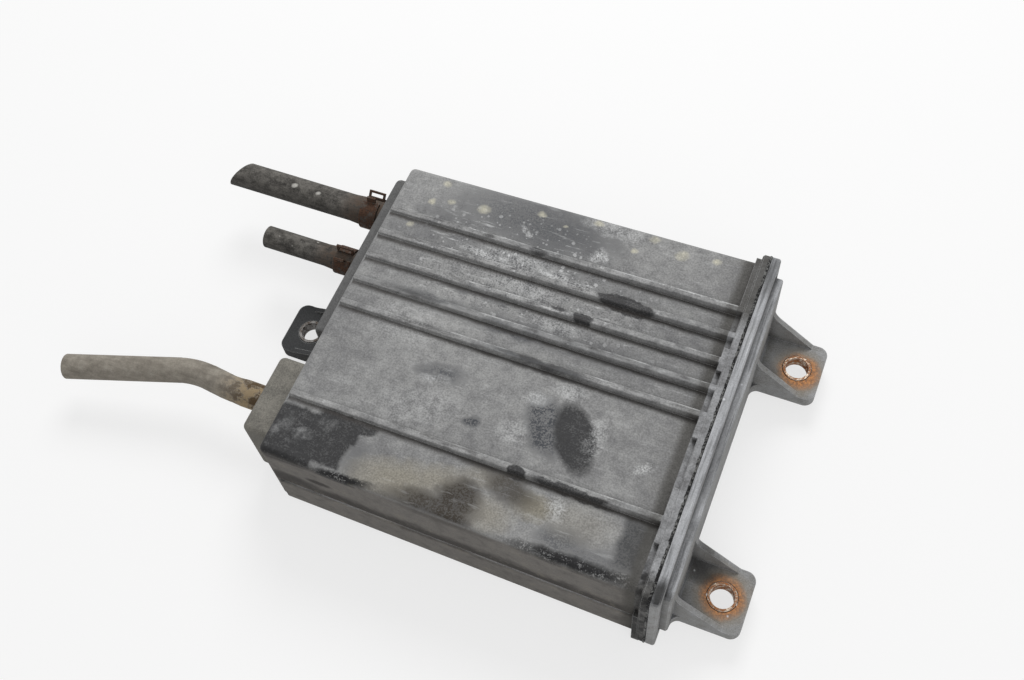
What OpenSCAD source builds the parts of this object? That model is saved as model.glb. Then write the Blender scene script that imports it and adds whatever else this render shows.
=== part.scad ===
// Charcoal canister of a fuel vapour system: a ribbed plastic casing, split by a
// partition into two carbon chambers, with a welded end cover, three mounting
// lugs with steel collars, a drain box and three rubber hoses.
// Lengths are in millimetres. X runs from the hoses to the cover and Z points up.
// The origin lies midway between the two cover bolts, on the plane the lugs sit on.

/* [Casing] */
// Length of the casing from its port face to the weld flange
case_l = 181; // [160:1:220]
// Width of the casing at the weld flange
case_w = 172; // [164:1:190]
// Height of the casing
case_h = 51; // [46:1:60]
// How far each side leans in towards the port face
case_draft = 2.4; // [0:0.1:4]
// Rounding of the casing's outer edges
case_r = 2.8; // [2:0.1:4]
// Thickness of the casing's long walls
case_wall = 2.5; // [2:0.1:3]
// Thickness of the wall at the port face
port_wall = 3; // [2.5:0.1:5]
// Distance of the partition from the middle, towards the drain side
partition_y = 25; // [22:0.5:28]
// Thickness of the partition
partition_t = 2; // [1.5:0.1:3]
// How far the partition reaches past the pressure plates
partition_over = 4; // [2:0.5:8]

/* [Side bands] */
// Height of the wider band along each lower side
band_h = 20; // [12:0.5:24]
// How far the band stands out from the side
band_out = 1; // [0.6:0.1:3]
// Rounding of the band
band_r = 1.5; // [1:0.1:2]
// Distance of the band's start from the port face
band_start = 3; // [1:0.5:10]
// Height of the band's underside over the casing's underside
band_lift = 0.6; // [0.4:0.1:2]

/* [Ribs] */
// Number of ribs over the main chamber
rib_count = 5; // [2:1:5]
// Distance of the first rib from the middle
rib_first_y = 56; // [50:0.5:62]
// Distance between the ribs over the main chamber
rib_pitch = 14.25; // [10:0.25:15]
// Distance of the single rib on the drain side from the middle
drain_rib_y = 53; // [45:0.5:60]
// Distance of the ribs' start from the port face
rib_start = 1.5; // [1:0.5:12]
// Height of a rib at its start
rib_start_h = 1; // [0.3:0.1:1.5]
// Height of a rib at the weld flange
rib_end_h = 3.4; // [2:0.1:3.6]
// Half width of a rib's flat top
rib_top = 1.5; // [1:0.1:1.8]
// Radius of the edges of that top
rib_edge_r = 0.5; // [0.3:0.1:0.8]
// Half width of a rib at its foot
rib_foot = 2.7; // [2:0.1:3.5]

/* [Weld flange] */
// Thickness of the casing's flange
flange_t = 3.5; // [2.5:0.1:5]
// How far the flange stands out from the casing
flange_lip = 4; // [3.8:0.1:7]
// Corner radius of the flange
flange_r = 4.5; // [3:0.5:8]
// Chamfer along the flange's edges
flange_bevel = 0.7; // [0.3:0.1:1.2]
// Thickness of the thicker stretches on the casing side of the flange
tab_t = 2.4; // [1:0.1:4]
// Starts of the thicker stretches along the flange's long edges, from the middle
tab_starts = [-64, -13, 22]; // [-70:1:40]
// Lengths of these stretches
tab_lengths = [26, 13, 12]; // [5:1:30]
// Start of the stretch that runs to the tank side's corner, from the middle
corner_tab_y = 55; // [45:1:70]
// Height of the stretches along the flange's short edges over the casing's middle
side_tab_z = 4; // [-10:0.5:20]
// Depth of the weld seam below the flange's edge
seam_depth = 1.2; // [0.6:0.1:2]
// Width of the weld seam
seam_w = 1; // [0.6:0.1:2]

/* [End cover] */
// Thickness of the cover's flange
cover_t = 4; // [3:0.1:6]
// How far the cover's middle stands out from its flange
cover_rise = 3.6; // [2:0.1:8]
// Wall of the cover's middle
cover_wall = 3; // [2:0.1:4]
// Distance of the cover's middle from the flange's edge
cover_inset = 6; // [5:0.1:9]
// Corner radius of the cover's middle
cover_r = 6; // [4:0.5:9]
// Width and depth of the groove round the cover's middle
groove = 1; // [0.5:0.1:1.5]

/* [Mounting lugs] */
// Distance between the two cover bolts
bolt_pitch = 122; // [110:1:130]
// Distance of the cover bolts from the cover's face
cover_bolt_reach = 18; // [15:0.5:24]
// Distance of the bolt from the lug's outer edge
bolt_edge = 12; // [10:0.5:15]
// Thickness of the lugs
lug_t = 6.3; // [4:0.1:9]
// Width of the cover lugs
cover_lug_w = 30.5; // [27:0.5:36]
// Width of the end lug
end_lug_w = 28; // [25:0.5:34]
// Corner radius of the lugs
lug_r = 4.8; // [2:0.1:7]
// Radius of the lugs' blend into the wall that carries them
lug_blend = 4; // [2:0.5:6]
// Height of the cover lugs' gussets over the lug
gusset_h = 18; // [8:0.5:20]
// Height of the end lug's gussets over the lug
end_gusset_h = 8; // [6:0.5:12]
// Thickness of the gussets
gusset_t = 2.6; // [2:0.1:3]
// Distance of the gussets' tips from the lug's outer edge
gusset_tip = 8; // [6:0.5:12]
// Radius of the gussets' blend into the wall
gusset_blend = 10; // [4:0.5:14]
// Distance of the end lug from the middle, towards the drain side
end_lug_y = 2.5; // [0:0.5:4]
// Distance of the end bolt from the port face
end_bolt_reach = 23.8; // [22:0.1:30]
// Distance of the lugs' seat below the casing's middle
seat_drop = 23.1; // [18:0.1:26]

/* [Collars] */
// Bore of the two cover collars
cover_collar_d = 11; // [8:0.5:12]
// Bore of the end collar
end_collar_d = 10; // [8:0.5:11]
// Wall of the collars
collar_wall = 1.3; // [1:0.1:2]
// How far the collars stand out over the lugs
collar_proud = 0.3; // [0:0.1:0.6]

/* [Port pad] */
// How far the pad stands out from the port face
pad_rise = 6.8; // [5:0.1:10]
// End of the pad on the drain side, from the middle
pad_drain_y = 18; // [17:0.5:20]
// End of the pad on the tank side, from the middle
pad_tank_y = 78.5; // [74:0.5:78.5]
// Height of the pad
pad_h = 40; // [30:0.5:42]
// Rounding of the pad's edges
pad_r = 3; // [2:0.1:4]
// Wall of the pad
pad_wall = 3; // [2:0.1:4]

/* [Tank port and hose] */
// Distance of the tank port from the middle
tank_y = 63.5; // [60:0.5:65]
// Height of the ports over the casing's middle
port_z = 3; // [0:0.5:8]
// Inside diameter of the tank hose
tank_hose_d = 8; // [6:0.5:10]
// Wall of the tank hose
tank_hose_wall = 3; // [2:0.1:3.5]
// Length of the tank hose along its long side
tank_hose_l = 92; // [70:1:200]
// How far the cut at the hose's end runs back
tank_cut_l = 9; // [0:1:25]
// Direction of the cut's short side, up from the tank side
tank_cut_turn = 31; // [0:1:90]

/* [Purge port and hose] */
// Distance of the purge port from the middle
purge_y = 32; // [26:0.5:36]
// Inside diameter of the purge hose
purge_hose_d = 6; // [5:0.5:8]
// Wall of the purge hose
purge_hose_wall = 2.7; // [2:0.1:3.5]
// Length of the purge hose
purge_hose_l = 55; // [45:1:150]

/* [Drain box and hose] */
// How far the drain box stands out from the port face
box_rise = 16; // [12:0.1:20]
// Width of the drain box
box_w = 40.5; // [34:0.5:44]
// Distance of the drain box's middle from the casing's middle
box_y = 54; // [50:0.5:54]
// Height of the drain box's top over the casing's middle
box_top = 17.4; // [12:0.1:20]
// Depth of the drain box's underside below the casing's middle
box_bottom = 22.4; // [15:0.1:22.4]
// Rounding of the drain box's edges
box_r = 3; // [2:0.1:4]
// Wall of the drain box
box_wall = 2.4; // [2:0.1:3]
// Distance of the drain spigot from the casing's middle
drain_y = 50.5; // [46:0.5:58]
// Depth of the drain spigot below the casing's middle
drain_z = 3.3; // [0:0.1:8]
// Inside diameter of the drain hose
drain_hose_d = 7; // [6:0.5:9]
// Wall of the drain hose
drain_hose_wall = 2.8; // [2:0.1:3.5]
// Straight length of the drain hose from its widened end to its first bend
drain_run_l = 1; // [1:0.5:20]
// Straight length of the drain hose between its bends
drain_mid_l = 9; // [4:0.5:40]
// Straight length of the drain hose past its second bend
drain_free_l = 60; // [40:1:150]
// Angle of the first bend, away from the drain side
drain_first_bend = 6.5; // [2:0.5:30]
// How far the free stretch runs to the drain side, over a length of slope_run
drain_fall = 7; // [2:0.5:14]
// How far the plane of the bends dips below the level on the drain side, over a width of slope_run
drain_dip = 7; // [0:0.5:14]
// Radius of the drain hose's bends
drain_bend_r = 45; // [40:1:90]
// How much the drain hose's wall thins in its bends, on each side
bend_thin = 0.06; // [0.04:0.01:0.2]

/* [Hose ends and clamps] */
// Length of the spigots
spigot_l = 16; // [12:0.5:24]
// Wall of the spigots
spigot_wall = 1.2; // [1:0.1:1.5]
// Height of the spigots' barbs
barb = 0.5; // [0.3:0.1:0.8]
// Length of the spigots' barbs
barb_l = 4; // [2:0.5:6]
// Room between a spigot's barb and its hose
hose_room = 0.15; // [0.1:0.05:0.3]
// Length over which a stretched hose narrows
hose_taper = 5; // [3:0.5:8]
// Distance of the clamps from the port pad
clamp_back = 5; // [1:0.5:5]
// Width of the clamps
clamp_w = 9; // [6:0.5:12]
// Thickness of the clamps' strip
clamp_t = 1.1; // [0.8:0.1:1.5]
// Room between a clamp and its hose
clamp_room = 0.15; // [0.1:0.05:0.3]
// Height of the clamps' ears
ear_h = 3.6; // [3:0.1:6]
// Angle between a clamp's two ears
ear_gap = 34; // [24:1:60]
// Width of the bars that frame the window in an ear
ear_bar = 1.1; // [0.8:0.1:1.3]
// Direction of the gap between the tank clamp's ears, up from the tank side
tank_ear_turn = 62; // [30:1:120]
// Direction of the gap between the purge clamp's ears, up from the tank side
purge_ear_turn = 100; // [30:1:120]

/* [Filling] */
// Thickness of the filter pads in the chambers
filter_t = 5; // [3:0.5:8]
// Thickness of the drain box's filter
drain_filter_t = 7; // [4:0.5:8]
// Thickness of the pressure plates
plate_t = 3; // [2:0.1:5]
// Diameter of the holes in the pressure plates
plate_hole_d = 4; // [2:0.5:5]
// Distance between the holes in the pressure plates
plate_hole_pitch = 8; // [7:0.5:10]
// Length of the fitted springs
spring_l = 22; // [18:0.5:28]
// Mean diameter of the springs
spring_d = 20; // [16:0.5:24]
// Wire of the springs
spring_wire = 1.6; // [1:0.1:2.2]
// Turns of a spring
spring_turns = 5; // [4:0.5:7]
// Distance between the two springs of the main chamber
spring_pitch = 50; // [40:1:60]
// Height of the springs' seats
spring_seat_h = 3; // [2:0.5:5]
// Room between the filling and the walls
fill_room = 0.3; // [0.2:0.05:0.5]

/* [Hidden] */

// Sides of the round parts, and of the balls that soften the mouldings' edges
$fn = 48;
soft_sides = 24;
// Depth to which joined shapes run into each other
bite = 1;

// Planes along the casing, counted from its port face
flange_x = case_l + flange_t;
cover_x = flange_x + seam_w;
cover_face_x = cover_x + cover_t + cover_rise;
cover_inner_x = cover_face_x - cover_wall;
plate_x = cover_inner_x - spring_l - plate_t;
bed_end_x = plate_x - filter_t;
bed_start_x = port_wall + filter_t;
partition_end_x = plate_x + plate_t + partition_over;
bolt_x = cover_face_x + cover_bolt_reach;
cover_lug_reach = cover_bolt_reach + bolt_edge;

// Half sizes across the casing
inner_half_h = case_h / 2 - case_wall;
flange_half_w = case_w / 2 + flange_lip;
flange_half_h = case_h / 2 + flange_lip;
cover_half_w = flange_half_w - cover_inset;
cover_half_h = flange_half_h - cover_inset;
main_edge_y = -partition_y + partition_t / 2;
second_edge_y = -partition_y - partition_t / 2;

// Half width of the casing, outside and inside, at a distance from the port face
function half_w(x) = case_w / 2 - case_draft * (1 - x / case_l);
function inner_half_w(x) = half_w(x) - case_wall;

// Middles of the two chambers at the pressure plates
main_mid_y = (main_edge_y + inner_half_w(plate_x)) / 2;
second_mid_y = (second_edge_y - inner_half_w(plate_x)) / 2;
spring_ys = [main_mid_y + spring_pitch / 2, main_mid_y - spring_pitch / 2, second_mid_y];

// Length over which the slopes of the drain hose are given
slope_run = 24;
drain_fall_turn = atan2(drain_fall, slope_run);
drain_dip_turn = atan2(drain_dip, slope_run);
// Where the drain hose's free stretch starts, from the start of its first bend
drain_free_start = [
    -drain_bend_r * (2 * sin(drain_first_bend) + sin(drain_fall_turn)) - drain_mid_l * cos(drain_first_bend),
    drain_bend_r * (1 - 2 * cos(drain_first_bend) + cos(drain_fall_turn)) + drain_mid_l * sin(drain_first_bend),
    0
];

// Rows of ribs, and the thicker stretches of the flange as start and end across the casing
rib_ys = concat([for (i = [0:rib_count - 1]) rib_first_y - i * rib_pitch], [-drain_rib_y]);
tab_spans = concat([for (i = [0:len(tab_starts) - 1]) [tab_starts[i], tab_starts[i] + tab_lengths[i]]],
    [[corner_tab_y, flange_half_w - flange_r]]);

// Diameters at a spigot for a hose of a given bore
function barb_d(hose_d) = hose_d + 2 * barb;
function stretched_d(hose_d) = barb_d(hose_d) + 2 * hose_room;
function stretched_r(hose_d, wall) = stretched_d(hose_d) / 2 + wall - barb / 2;

// Moves a shape from the casing's own frame, at the middle of its port face, to the bolts' frame
module in_frame() translate([-bolt_x, 0, seat_drop]) children();

// Extrudes an outline across the casing from one plane to another along it
module along_x(x0, x1) translate([x0, 0, 0]) rotate([90, 0, 90]) linear_extrude(x1 - x0) children();

// Round bar along the casing between two planes
module bar_x(x0, x1, r0, r1) translate([x0, 0, 0]) rotate([0, 90, 0]) cylinder(r1 = r0, r2 = r1, h = x1 - x0);

// Rectangle with round corners, given by its half sizes
module round_rect(half_y, half_z, r) {
    square([2 * (half_y - r), 2 * half_z], center = true);
    square([2 * half_y, 2 * (half_z - r)], center = true);
    for (y = [-1, 1], z = [-1, 1])
        translate([y * (half_y - r), z * (half_z - r)]) circle(r);
}

// Block with all its edges rounded, between two corners
module soft_box(low, high, r) hull() {
    for (x = [low.x + r, high.x - r], y = [low.y + r, high.y - r], z = [low.z + r, high.z - r])
        translate([x, y, z]) sphere(r, $fn = soft_sides);
}

// Upright plate with round corners and a chamfer on one or both of its faces
module bevelled_plate(x0, x1, half_y, half_z, r, bevel0, bevel1) hull() {
    for (y = [-1, 1], z = [-1, 1]) translate([0, y * (half_y - r), z * (half_z - r)]) {
        translate([x0 + bevel0, 0, 0]) rotate([0, 90, 0])
            cylinder(r = r, h = x1 - x0 - bevel0 - bevel1, $fn = soft_sides);
        translate([x0, 0, 0]) rotate([0, 90, 0])
            cylinder(r1 = r - bevel0, r2 = r - bevel1, h = x1 - x0, $fn = soft_sides);
    }
}

// Gusset's outline: a slope from the tip up to the wall, blended into the wall by an arc
module gusset_outline(tip, rise, r) {
    slope = sqrt(tip * tip + rise * rise);
    centre = [r, rise + r * (slope - rise) / tip];
    sweep = atan2(tip, rise);
    arc = [for (i = [0:8]) centre + r * [cos(180 + sweep * i / 8), sin(180 + sweep * i / 8)]];
    polygon(concat([[-bite, -bite], [tip, -bite], [tip, 0]], [for (i = [8:-1:0]) arc[i]], [[-bite, centre.y]]));
}

// Lug with a bolt seat, standing out along X from a wall at x = 0, with its seat at z = 0
module lug(reach, width, bolt, seat_d, rise) difference() {
    union() {
        linear_extrude(lug_t) {
            translate([-bite, -width / 2]) square([reach - lug_r + bite, width]);
            translate([0, -width / 2 + lug_r]) square([reach, width - 2 * lug_r]);
            for (y = [-1, 1]) {
                translate([reach - lug_r, y * (width / 2 - lug_r)]) circle(lug_r);
                difference() {
                    translate([-bite, y * (width + lug_blend) / 2 - lug_blend / 2])
                        square([lug_blend + bite, lug_blend]);
                    translate([lug_blend, y * (width / 2 + lug_blend)]) circle(lug_blend);
                }
            }
        }
        for (y = [-width / 2 + gusset_t, width / 2])
            translate([0, y, lug_t]) rotate([90, 0, 0])
                linear_extrude(gusset_t) gusset_outline(reach - gusset_tip, rise, gusset_blend);
    }
    translate([bolt, 0, -bite]) cylinder(d = seat_d, h = lug_t + 2 * bite);
}

// Hose spigot along -X from a wall at x = 0, with a barb near its tip
module spigot(hose_d) mirror([1, 0, 0]) {
    bar_x(-bite, spigot_l, hose_d / 2, hose_d / 2);
    bar_x(spigot_l - barb_l, spigot_l, barb_d(hose_d) / 2, hose_d / 2 - barb);
}

// Bore of a spigot, run on through the wall behind it
module spigot_bore(hose_d, wall) mirror([1, 0, 0])
    bar_x(-wall - bite, spigot_l + bite, hose_d / 2 - spigot_wall, hose_d / 2 - spigot_wall);

// Outside of a hose along -X, widened where a spigot stretches it
module hose_skin(hose_d, wall, length) mirror([1, 0, 0]) {
    wide = stretched_r(hose_d, wall);
    free = hose_d / 2 + wall;
    bar_x(hose_room, spigot_l, wide, wide);
    bar_x(spigot_l, spigot_l + hose_taper, wide, free);
    bar_x(spigot_l + hose_taper, length, free, free);
}

// Bore of a hose along -X: stretched over its spigot, then its own diameter
module hose_bore(hose_d, length) mirror([1, 0, 0]) {
    bar_x(-bite, spigot_l + hose_room, stretched_d(hose_d) / 2, stretched_d(hose_d) / 2);
    bar_x(spigot_l, length, hose_d / 2, hose_d / 2);
}

// Drafted body of the casing
module case_form() hull() {
    for (y = [-1, 1], z = [-1, 1]) {
        translate([case_r, y * (half_w(case_r) - case_r), z * (case_h / 2 - case_r)])
            sphere(case_r, $fn = soft_sides);
        translate([case_l, y * (half_w(case_l) - case_r), z * (case_h / 2 - case_r)]) rotate([0, 90, 0])
            cylinder(r = case_r, h = bite, $fn = soft_sides);
    }
}

// Wider band along one lower side
module side_band(side) hull() {
    for (z = [-case_h / 2 + band_lift + band_r, -case_h / 2 + band_h - band_r], inward = [0, case_r + band_out]) {
        translate([band_start + band_r, side * (half_w(band_start) + band_out - band_r - inward), z])
            sphere(band_r, $fn = soft_sides);
        translate([case_l, side * (half_w(case_l) + band_out - band_r - inward), z]) rotate([0, 90, 0])
            cylinder(r = band_r, h = bite, $fn = soft_sides);
    }
}

// Rib that rises out of the top face towards the flange
module rib(y) {
    run = case_l - rib_start;
    lean = atan((rib_end_h - rib_start_h) / run);
    depth = rib_end_h + case_wall / 2;
    translate([rib_start, y, case_h / 2 + rib_start_h]) rotate([0, -lean, 0])
        along_x(0, run / cos(lean) + bite) {
            for (side = [-1, 1]) translate([side * (rib_top - rib_edge_r), -rib_edge_r]) circle(rib_edge_r);
            polygon([
                [-rib_top + rib_edge_r, 0], [rib_top - rib_edge_r, 0], [rib_top, -rib_edge_r],
                [rib_foot, -depth], [-rib_foot, -depth], [-rib_top, -rib_edge_r]
            ]);
        }
}

// Plan of a chamber between two planes, with room to its walls
module main_plan(x0, x1, room) polygon([
    [x0, main_edge_y + room], [x1, main_edge_y + room],
    [x1, inner_half_w(x1) - room], [x0, inner_half_w(x0) - room]
]);
module second_plan(x0, x1, room) polygon([
    [x0, second_edge_y - room], [x1, second_edge_y - room],
    [x1, -inner_half_w(x1) + room], [x0, -inner_half_w(x0) + room]
]);

// Block that fills a chamber's plan over its height
module chamber_block(room) linear_extrude(2 * (inner_half_h - room), center = true) children();

// Thicker stretches on the casing side of the flange, along its four edges
module flange_tabs() {
    reach = flange_lip - flange_bevel;
    for (span = tab_spans, side = [-1, 1])
        translate([case_l - tab_t, span[0], side > 0 ? case_h / 2 - bite : -case_h / 2 - reach])
            cube([tab_t + bite, span[1] - span[0], reach + bite]);
    for (side = [-1, 1])
        translate([case_l - tab_t, side > 0 ? case_w / 2 - bite : -case_w / 2 - reach, -case_h / 2 - reach])
            cube([tab_t + bite, reach + bite, case_h / 2 + side_tab_z + reach]);
}

module casing() color("dimgray") in_frame() {
    difference() {
        union() {
            case_form();
            side_band(-1);
            side_band(1);
            for (y = rib_ys) {
                rib(y);
                mirror([0, 0, 1]) rib(y);
            }
            bevelled_plate(case_l, flange_x, flange_half_w, flange_half_h, flange_r, flange_bevel, 0);
            flange_tabs();
            along_x(case_l + bite, flange_x + seam_w / 2)
                round_rect(flange_half_w - seam_depth, flange_half_h - seam_depth, flange_r - seam_depth);
            soft_box([-pad_rise, -pad_drain_y, -pad_h / 2], [pad_r + bite, pad_tank_y, pad_h / 2], pad_r);
            translate([0, -end_lug_y, -seat_drop]) mirror([1, 0, 0])
                lug(end_bolt_reach + bolt_edge, end_lug_w, end_bolt_reach,
                    end_collar_d + 2 * (collar_wall + fill_room), end_gusset_h);
            translate([-pad_rise, tank_y, port_z]) spigot(tank_hose_d);
            translate([-pad_rise, purge_y, port_z]) spigot(purge_hose_d);
        }
        linear_extrude(2 * inner_half_h, center = true) polygon([
            [port_wall, -inner_half_w(port_wall)], [flange_x + seam_w, -inner_half_w(flange_x + seam_w)],
            [flange_x + seam_w, inner_half_w(flange_x + seam_w)], [port_wall, inner_half_w(port_wall)]
        ]);
        translate([-pad_rise + pad_wall, -pad_drain_y + pad_wall, -pad_h / 2 + pad_wall])
            cube([pad_rise + port_wall, pad_drain_y + pad_tank_y - 2 * pad_wall, pad_h - 2 * pad_wall]);
        translate([-bite, -box_y - box_w / 2 + 2 * box_wall, -box_bottom + 2 * box_wall])
            cube([port_wall + 2 * bite, box_w - 4 * box_wall, box_bottom + box_top - 4 * box_wall]);
        translate([-pad_rise, tank_y, port_z]) spigot_bore(tank_hose_d, pad_wall);
        translate([-pad_rise, purge_y, port_z]) spigot_bore(purge_hose_d, pad_wall);
    }
    translate([port_wall - bite, second_edge_y, -inner_half_h - bite])
        cube([partition_end_x - port_wall + bite, partition_t, 2 * (inner_half_h + bite)]);
}

module end_cover() color("slategray") in_frame() {
    difference() {
        union() {
            bevelled_plate(cover_x, cover_x + cover_t, flange_half_w, flange_half_h, flange_r, 0, flange_bevel);
            along_x(cover_x - seam_w / 2, cover_x + bite)
                round_rect(flange_half_w - seam_depth, flange_half_h - seam_depth, flange_r - seam_depth);
            bevelled_plate(cover_x + bite, cover_face_x, cover_half_w, cover_half_h, cover_r, 0, flange_bevel);
            for (side = [-1, 1]) translate([cover_face_x, side * bolt_pitch / 2, -seat_drop])
                lug(cover_lug_reach, cover_lug_w, cover_bolt_reach,
                    cover_collar_d + 2 * (collar_wall + fill_room), gusset_h);
        }
        along_x(cover_x + cover_t - groove, cover_x + cover_t + bite) difference() {
            round_rect(cover_half_w + groove, cover_half_h + groove, cover_r + groove);
            round_rect(cover_half_w, cover_half_h, cover_r);
        }
        along_x(cover_x - seam_w, cover_inner_x)
            round_rect(cover_half_w - cover_wall, cover_half_h - cover_wall, cover_r - cover_wall);
    }
    for (y = spring_ys) translate([0, y, 0]) along_x(cover_inner_x - spring_seat_h, cover_inner_x + bite)
        spring_seat_plan();
}

// Ring that a spring slips over
module spring_seat_plan() difference() {
    circle((spring_d - spring_wire) / 2 - fill_room);
    circle((spring_d - spring_wire) / 2 - fill_room - cover_wall);
}

module drain_box() color("darkgray") in_frame() difference() {
    union() {
        intersection() {
            soft_box([-box_rise, -box_y - box_w / 2, -box_bottom],
                [box_r, -box_y + box_w / 2, box_top], box_r);
            translate([-box_rise - bite, -case_w, -case_h]) cube([box_rise + bite, 2 * case_w, 2 * case_h]);
        }
        translate([-box_rise, -drain_y, -drain_z]) spigot(drain_hose_d);
    }
    translate([-box_rise + box_wall, -box_y - box_w / 2 + box_wall, -box_bottom + box_wall])
        cube([box_rise, box_w - 2 * box_wall, box_bottom + box_top - 2 * box_wall]);
    translate([-box_rise, -drain_y, -drain_z]) spigot_bore(drain_hose_d, box_wall);
}

module drain_filter() color("darkkhaki") in_frame()
    translate([-drain_filter_t, -box_y - box_w / 2 + box_wall + fill_room, -box_bottom + box_wall + fill_room])
        cube([drain_filter_t, box_w - 2 * (box_wall + fill_room), box_bottom + box_top - 2 * (box_wall + fill_room)]);

// Steel collar that keeps a bolt from crushing its lug, with its lower end on the seat
module collar(bore_d) difference() {
    cylinder(d = bore_d + 2 * collar_wall, h = lug_t + collar_proud);
    translate([0, 0, -bite]) cylinder(d = bore_d, h = lug_t + collar_proud + 2 * bite);
}

module back_cover_collar() color("chocolate") translate([0, bolt_pitch / 2, 0]) collar(cover_collar_d);

module front_cover_collar() color("chocolate") translate([0, -bolt_pitch / 2, 0]) collar(cover_collar_d);

module end_lug_collar() color("silver")
    translate([-bolt_x - end_bolt_reach, -end_lug_y, 0]) collar(end_collar_d);

// Knife cut that slants the end of the tank hose
module tank_hose_cut() {
    hose_r = tank_hose_d / 2 + tank_hose_wall;
    block = 4 * (hose_r + tank_cut_l);
    lean = atan2(tank_cut_l, 2 * hose_r);
    rotate([tank_cut_turn, 0, 0]) translate([-tank_hose_l + tank_cut_l / 2, 0, 0]) rotate([0, 0, -lean])
        translate([-block / 2, 0, 0]) cube(block, center = true);
}

module tank_hose() color("darkslategray") in_frame() translate([-pad_rise, tank_y, port_z]) difference() {
    hose_skin(tank_hose_d, tank_hose_wall, tank_hose_l);
    hose_bore(tank_hose_d, tank_hose_l + bite);
    tank_hose_cut();
}

module purge_hose() color("darkslategray") in_frame() translate([-pad_rise, purge_y, port_z]) difference() {
    hose_skin(purge_hose_d, purge_hose_wall, purge_hose_l);
    hose_bore(purge_hose_d, purge_hose_l + bite);
}

// Cross-section of the drain hose, with a thinner wall in its bends
module drain_ring(thin) difference() {
    circle(drain_hose_d / 2 + drain_hose_wall - thin);
    circle(drain_hose_d / 2 + thin);
}

// Bend of the drain hose that starts along -X and turns to the side given by the sign of its angle
module drain_bend(turn) {
    side = sign(turn);
    translate([0, side * drain_bend_r, 0]) rotate([0, 0, side > 0 ? -90 - turn : 90])
        rotate_extrude(angle = abs(turn)) translate([drain_bend_r, 0]) drain_ring(bend_thin);
}

// Places what follows at the end of such a bend
module after_bend(turn) translate([0, sign(turn) * drain_bend_r, 0]) rotate([0, 0, -turn])
    translate([0, -sign(turn) * drain_bend_r, 0]) children();

// Straight stretch of the drain hose along -X, run a little over the bend before it
module drain_stretch(length, over) along_x(-length - over, bite) drain_ring(0);

module drain_hose() color("gray") in_frame() translate([-box_rise, -drain_y, -drain_z]) {
    run = spigot_l + hose_taper + drain_run_l;
    difference() {
        hose_skin(drain_hose_d, drain_hose_wall, run + bite);
        hose_bore(drain_hose_d, run + 2 * bite);
    }
    rotate([drain_dip_turn, 0, 0]) translate([-run, 0, 0]) {
        drain_bend(drain_first_bend);
        after_bend(drain_first_bend) {
            drain_stretch(drain_mid_l, bite);
            translate([-drain_mid_l, 0, 0]) drain_bend(-drain_first_bend - drain_fall_turn);
        }
        translate(drain_free_start) rotate([0, 0, drain_fall_turn]) drain_stretch(drain_free_l, 0);
    }
}

// Spring band clamp along -X: an open ring with two upright ears, one with a window
module band_clamp(inner_r, turn) {
    ear_root = inner_r + clamp_t / 2;
    window_h = ear_h - clamp_t / 2 - ear_bar;
    tongue_w = clamp_w - 4 * ear_bar;
    rotate([turn - 90, 0, 0]) rotate([0, -90, 0]) {
        rotate([0, 0, ear_gap / 2]) {
            rotate_extrude(angle = 360 - ear_gap) translate([inner_r, 0]) square([clamp_t, clamp_w]);
            difference() {
                translate([ear_root, 0, 0]) cube([ear_h, clamp_t, clamp_w]);
                translate([inner_r + clamp_t, -bite, ear_bar])
                    cube([window_h, clamp_t + 2 * bite, clamp_w - 2 * ear_bar]);
            }
        }
        rotate([0, 0, -ear_gap / 2]) translate([ear_root, -clamp_t, (clamp_w - tongue_w) / 2])
            cube([ear_h, clamp_t, tongue_w]);
    }
}

module tank_hose_clamp() color("saddlebrown") in_frame() translate([-pad_rise - clamp_back, tank_y, port_z])
    band_clamp(stretched_r(tank_hose_d, tank_hose_wall) + clamp_room, tank_ear_turn);

module purge_hose_clamp() color("saddlebrown") in_frame() translate([-pad_rise - clamp_back, purge_y, port_z])
    band_clamp(stretched_r(purge_hose_d, purge_hose_wall) + clamp_room, purge_ear_turn);

module main_carbon_bed() color("black") in_frame()
    chamber_block(fill_room) main_plan(bed_start_x, bed_end_x, fill_room);

module second_carbon_bed() color("black") in_frame()
    chamber_block(fill_room) second_plan(bed_start_x, bed_end_x, fill_room);

module main_port_filter() color("ivory") in_frame()
    chamber_block(fill_room) main_plan(port_wall, bed_start_x, fill_room);

module second_port_filter() color("ivory") in_frame()
    chamber_block(fill_room) second_plan(port_wall, bed_start_x, fill_room);

module main_cover_filter() color("ivory") in_frame()
    chamber_block(fill_room) main_plan(bed_end_x, plate_x, fill_room);

module second_cover_filter() color("ivory") in_frame()
    chamber_block(fill_room) second_plan(bed_end_x, plate_x, fill_room);

// Holes of a pressure plate over a width about the middle of its chamber
module plate_holes(mid_y, width) {
    across = floor((width / 2 - plate_hole_pitch) / plate_hole_pitch);
    upward = floor((inner_half_h - plate_hole_pitch / 2) / plate_hole_pitch);
    for (i = [-across:across], j = [-upward:upward])
        translate([0, mid_y + i * plate_hole_pitch, j * plate_hole_pitch])
            bar_x(plate_x - bite, plate_x + plate_t + bite, plate_hole_d / 2, plate_hole_d / 2);
}

// Seat of one spring on a pressure plate
module plate_seat(y) translate([0, y, 0])
    along_x(plate_x + plate_t / 2, plate_x + plate_t + spring_seat_h) spring_seat_plan();

module main_pressure_plate() color("lightgray") in_frame() {
    difference() {
        chamber_block(fill_room) main_plan(plate_x, plate_x + plate_t, fill_room);
        plate_holes(main_mid_y, inner_half_w(plate_x) - main_edge_y);
    }
    plate_seat(spring_ys[0]);
    plate_seat(spring_ys[1]);
}

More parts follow.
